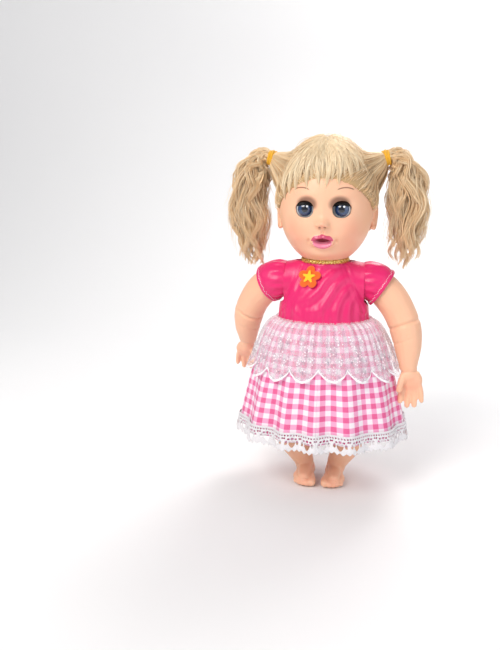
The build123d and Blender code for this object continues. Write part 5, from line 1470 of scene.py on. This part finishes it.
class DOLL_OT_hem(Operator):
    """Makes the pointed lace round the hem"""
    bl_idname = "doll.hem"
    bl_label = "Hem lace"

    def execute(self, context):
        s = dress_set()
        lace = thread_finish("white lace", s.lace, 3.2, 0.8)
        stitch = thread_finish("hem stitches", s.lace, 3.2)
        low, high = HEM_LOW[2], HEM_HIGH[2]
        repeats = 34

        def place(turn, share):
            z = high - share * (high - low)
            ruffle = 1.3 + 0.5 * np.cos(turn * repeats) * share
            spread = skirt_place(turn, np.maximum(z, SKIRT_LOW[2] - 4), ruffle)
            spread[:, 2] = z
            return spread

        for name, start, end, side in PANELS:
            bm = skirt_grid(start, end, 1120, 38, place, (repeats, 1.0))
            layer = bm.loops.layers.uv.verify()
            doomed = []
            for face in bm.faces:
                u = sum(loop[layer].uv[0] for loop in face.loops) / 4
                v = sum(loop[layer].uv[1] for loop in face.loops) / 4
                if lace_gap((u % 1.0 - 0.5) * 12.0, v * 17.0):
                    doomed.append(face)
            bmesh.ops.delete(bm, geom=doomed, context="FACES")
            ends = [place(np.radians([edge]), np.array([0.5]))[0] for edge in (start, end)]
            for _ in range(2):
                rim = [v for v in bm.verts if v.is_boundary and min(
                    math.hypot(v.co.x / MM - e[0], v.co.y / MM - e[1]) for e in ends) > 2.5]
                bmesh.ops.smooth_vert(bm, verts=rim, factor=0.5, use_axis_x=True, use_axis_y=True, use_axis_z=True)
            hem = bm_object(f"hem_lace_{name}", bm, lace)
            wall = hem.modifiers.new("wall", "SOLIDIFY")
            wall.thickness = 0.5 * MM
            wall.offset = 1
            settle(hem)
            turn = np.radians(np.linspace(start + 0.3, end - 0.3, 300))
            thread = stitches(f"hem_stitches_{name}", skirt_place(turn, np.full(300, high - 1.2), 2.2), stitch, 2.2,
                              0.6, 0.24)
            for piece in (hem, thread):
                hang(piece, side)
            if side is None:
                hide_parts("hem_lace")
        return {"FINISHED"}


class DOLL_OT_flower(Operator):
    """Makes the felt flower and its star"""
    bl_idname = "doll.flower"
    bl_label = "Felt flower"

    def execute(self, context):
        s = dress_set()
        middle = (FLOWER_LOW + FLOWER_HIGH) / 2
        slope = unit(np.array([middle[0] / 40.7**2, middle[1] / 30.7**2, (middle[2] - TRUNK[2]) / 62.2**2]))
        across = unit(np.cross([0.0, 0.0, 1.0], slope))
        over = np.cross(slope, across)
        frame_turn = Matrix((across, over, slope)).transposed().to_4x4()
        middle = middle + slope * 0.6

        def spot(a, b, c):
            return tuple(middle + across * a + over * b + slope * c)

        balls = []
        for k in range(5):
            angle = math.radians(90 + 72 * k)
            reach = 6.5
            balls.append((spot(reach * math.cos(angle), reach * math.sin(angle), 0.1 + 0.3 * (k % 2)), (4.15, 4.15, 0.95),
                          frame_turn))
        balls.append((spot(0, 0, 0), (4.4, 4.4, 0.9), frame_turn))
        petals = fused("felt_petals", balls, felt_finish("orange felt", s.petal), 0.42 * MM, 4)
        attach(petals, "torso")
        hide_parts("flower_petals")
        balls = []
        for k in range(5):
            angle = math.radians(90 + 72 * k)
            for q in np.linspace(0, 4.9, 12):
                r = 2.2 - 0.24 * q
                balls.append((spot(q * math.cos(angle), q * math.sin(angle), 1.55), (r, r, 0.72), frame_turn))
        star = fused("felt_star", balls, felt_finish("yellow felt", s.star), 0.32 * MM, 3)
        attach(star, "torso")
        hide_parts("flower_star")
        return {"FINISHED"}


class DOLL_OT_neck(Operator):
    """Makes the glittering gold band round the neck"""
    bl_idname = "doll.neck"
    bl_label = "Neck band"

    def execute(self, context):
        s = dress_set()
        f = Finish("gold sequins", Roughness=0.32, Metallic=0.8)
        x, y, z, place = f.object_mm()
        cell = f.node("ShaderNodeTexVoronoi", output=1, Vector=place, Scale=1.1)
        tone = f.node("ShaderNodeSeparateColor", i0=cell)
        f.put(f.shader.inputs["Base Color"], f.blend(tone, (s.gold[0] * 0.55, s.gold[1] * 0.45, s.gold[2] * 0.3),
                                                     (1.0, 0.74, 0.26)))
        f.put(f.shader.inputs["Normal"], f.bump(tone, 0.8, 0.0006))
        centre = np.array([0.0, (NECK_LOW[1] + NECK_HIGH[1]) / 2, (NECK_LOW[2] + NECK_HIGH[2]) / 2])
        profile = [(1.15 * math.cos(a), 1.75 * math.sin(a)) for a in np.linspace(0, 2 * math.pi, 25)[:-1]]
        bm = ring_mesh(centre, (0, 0, 1), 19.9, profile, 300)
        for vert in bm.verts:
            away = np.array(vert.co) / MM - centre
            turn = math.atan2(away[1], away[0])
            ring = np.array([math.cos(turn), math.sin(turn), 0]) * 19.9
            local = away - ring
            lean = math.atan2(local[2], local @ (ring / 19.9))
            swell = 1 + 0.16 * math.cos(2 * lean + turn * 38)
            vert.co = Vector(centre + ring + local * swell) * MM
        band = bm_object("gold_neck_band", bm, f.material)
        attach(band, "torso")
        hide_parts("neck_band")
        return {"FINISHED"}


class DOLL_OT_closure(Operator):
    """Makes the sewn strip that closes the back"""
    bl_idname = "doll.closure"
    bl_label = "Back closure"

    def execute(self, context):
        s = dress_set()
        low, high = box_mm("back_closure")
        strip_finish = satin_finish("placket satin")
        bm = bmesh.new()
        bmesh.ops.create_grid(bm, x_segments=24, y_segments=80, size=1.0)
        for vert in bm.verts:
            x = vert.co.x * 5.2
            z = low[2] + (vert.co.y + 1) / 2 * (high[2] - low[2])
            vert.co = Vector((x, self.back(x, z) + 1.1, z)) * MM
        bmesh.ops.reverse_faces(bm, faces=bm.faces[:])
        strip = bm_object("closure_strip", bm, strip_finish)
        wall = strip.modifiers.new("wall", "SOLIDIFY")
        wall.thickness = 0.7 * MM
        wall.offset = -1
        settle(strip)
        thread = thread_finish("closure stitches", s.lace, 3.0)
        lines = []
        for x in (-4.1, 4.1):
            z = np.linspace(low[2] + 1, high[2] - 1, 60)
            lines.append(np.stack([np.full(60, x), [self.back(x, q) + 1.35 for q in z], z], axis=1))
        seams = [stitches(f"closure_stitches_{k}", line, thread, 2.0, 0.6, 0.22) for k, line in enumerate(lines)]
        for piece in (strip, *seams):
            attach(piece, "torso")
        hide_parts("back_closure")
        return {"FINISHED"}

    def back(self, x, z):
        """The bodice's back at a height, from the egg and neck ball it is built over."""
        egg = 30.9 * math.sqrt(max(1 - ((z - TRUNK[2]) / 62.0) ** 2 - (x / 40.9) ** 2, 0.0))
        neck = 2 + math.sqrt(max(20.2**2 * (1 - min(abs(z - TORSO_TOP + 3) / 9, 1) ** 2) - x * x, 0.0))
        return max(egg, neck if z > TORSO_TOP - 12 else 0.0)


# ------------------------------------------------------------ the frame's own hard parts
class DOLL_OT_hard_parts(Operator):
    """Gives the plastic, metal and paper parts inside their finishes"""
    bl_idname = "doll.hard_parts"
    bl_label = "Hard parts"

    def execute(self, context):
        skin = tuple(body_set().skin)
        finishes = {
            "head_vinyl": vinyl("spare vinyl")[0].material,
            "body_plastic": hard_finish("body plastic", skin, rough=0.38),
            "inner_plastic": hard_finish("inner plastic", (0.72, 0.70, 0.66), rough=0.45),
            "eye_white": hard_finish("eye plastic", (0.85, 0.85, 0.84), rough=0.25),
            "steel": hard_finish("steel", (0.56, 0.56, 0.58), 1.0, 0.28),
            "board_green": hard_finish("board", (0.02, 0.16, 0.06), rough=0.4),
            "component_black": hard_finish("black parts", (0.02, 0.02, 0.022), rough=0.45),
            "speaker_paper": hard_finish("speaker paper", (0.05, 0.045, 0.04), rough=0.85),
            "brass_contact": hard_finish("brass", (0.72, 0.50, 0.20), 1.0, 0.3),
            "wire_red": hard_finish("wire", (0.55, 0.02, 0.02), rough=0.4),
        }
        slots = {part["node"]: part.get("material") for part in frame["record"].get("subparts", [])}
        for name, node in frame["nodes"].items():
            wanted = slots.get(name)
            if wanted is None and node.material_slots and node.material_slots[0].material:
                wanted = node.material_slots[0].material.name.split(".")[0]
            if name.endswith("eyelid"):
                continue
            finish = finishes.get(wanted, finishes["inner_plastic"])
            for slot in node.material_slots:
                slot.material = finish
            if not node.material_slots:
                node.data.materials.append(finish)
        return {"FINISHED"}


class DOLL_OT_stage(Operator):
    """Sets the floor, the lights and the camera"""
    bl_idname = "doll.stage"
    bl_label = "Stage"

    def execute(self, context):
        scene = context.scene
        paper = Finish("paper floor", Roughness=0.9)
        x, y, z, place = paper.object_mm()
        paper.put(paper.shader.inputs["Base Color"],
                  paper.blend(paper.sum("MULTIPLY", paper.noise(place, 0.004), 0.25), (0.86, 0.86, 0.87),
                              (0.82, 0.82, 0.84)))
        bm = bmesh.new()
        bmesh.ops.create_grid(bm, x_segments=4, y_segments=80, size=2.2)
        for vert in bm.verts:
            y = vert.co.y
            bend = max(0.0, y - 0.45)
            arc = min(bend / 0.5, math.pi / 2)
            extra = max(0.0, bend - 0.5 * math.pi / 2)
            if bend > 0:
                vert.co.y = 0.45 + 0.5 * math.sin(arc)
                vert.co.z = 0.5 * (1 - math.cos(arc)) + extra
        floor = bm_object("floor", bm, paper.material)
        for name, at, aim, size, power, warm in (("key", (-0.55, -0.95, 1.05), (0, 0, 0.16), 0.75, 15.5, (1.0, 0.97, 0.93)),
                                                 ("fill", (0.95, -0.8, 0.55), (0, 0, 0.15), 1.0, 4.2, (0.94, 0.97, 1.0)),
                                                 ("rim", (0.25, 0.8, 0.95), (0, 0, 0.2), 0.6, 9.0, (1.0, 0.98, 0.95))):
            lamp = bpy.data.lights.new(name, "AREA")
            lamp.size = size
            lamp.energy = power
            lamp.color = warm
            holder = bpy.data.objects.new(name, lamp)
            holder.location = at
            holder.rotation_euler = (Vector(aim) - Vector(at)).to_track_quat("-Z", "Y").to_euler()
            scene.collection.objects.link(holder)
        world = bpy.data.worlds.new("soft room")
        world.use_nodes = True
        world.node_tree.nodes["Background"].inputs[0].default_value = (0.95, 0.97, 1.0, 1.0)
        world.node_tree.nodes["Background"].inputs[1].default_value = 0.36
        scene.world = world
        lens = bpy.data.cameras.new("lens")
        lens.lens = 38.77
        lens.sensor_width = 36.0
        camera = bpy.data.objects.new("camera", lens)
        swing = math.radians(4.2)
        camera.location = (0.612 * math.sin(swing), -0.612 * math.cos(swing), 0.282)
        camera.rotation_euler = (math.radians(77.3), 0.0, math.radians(10.35))
        scene.collection.objects.link(camera)
        scene.camera = camera
        scene.view_settings.view_transform = "Standard"
        return {"FINISHED"}


class DOLL_PT_panel(Panel):
    """Lists the doll's steps and settings"""
    bl_idname = "DOLL_PT_panel"
    bl_label = "Baby Doll"
    bl_space_type = "VIEW_3D"
    bl_region_type = "UI"
    bl_category = "Doll"

    def draw(self, context):
        for group in (context.scene.doll_body, context.scene.doll_hair, context.scene.doll_dress):
            box = self.layout.box()
            for key in group.__annotations__:
                box.prop(group, key)
        for operator in OPERATORS:
            self.layout.operator(operator.bl_idname)


OPERATORS = (DOLL_OT_stage, DOLL_OT_hard_parts, DOLL_OT_head, DOLL_OT_eyes, DOLL_OT_crown, DOLL_OT_fringe,
             DOLL_OT_pigtails, DOLL_OT_bands, DOLL_OT_arms, DOLL_OT_legs, DOLL_OT_bodice, DOLL_OT_sleeves,
             DOLL_OT_skirt, DOLL_OT_overlay, DOLL_OT_hem, DOLL_OT_flower, DOLL_OT_neck, DOLL_OT_closure)
GROUPS = (("doll_body", DOLL_PG_body), ("doll_hair", DOLL_PG_hair), ("doll_dress", DOLL_PG_dress))


def register():
    for name, group in GROUPS:
        bpy.utils.register_class(group)
        setattr(bpy.types.Scene, name, PointerProperty(type=group))
    for kind in (*OPERATORS, DOLL_PT_panel):
        bpy.utils.register_class(kind)


def unregister():
    for kind in reversed((*OPERATORS, DOLL_PT_panel)):
        bpy.utils.unregister_class(kind)
    for name, group in reversed(GROUPS):
        delattr(bpy.types.Scene, name)
        bpy.utils.unregister_class(group)


def main():
    register()
    for operator in OPERATORS:
        family, step = operator.bl_idname.split(".")
        getattr(getattr(bpy.ops, family), step)()


if __name__ == "__main__":
    main()
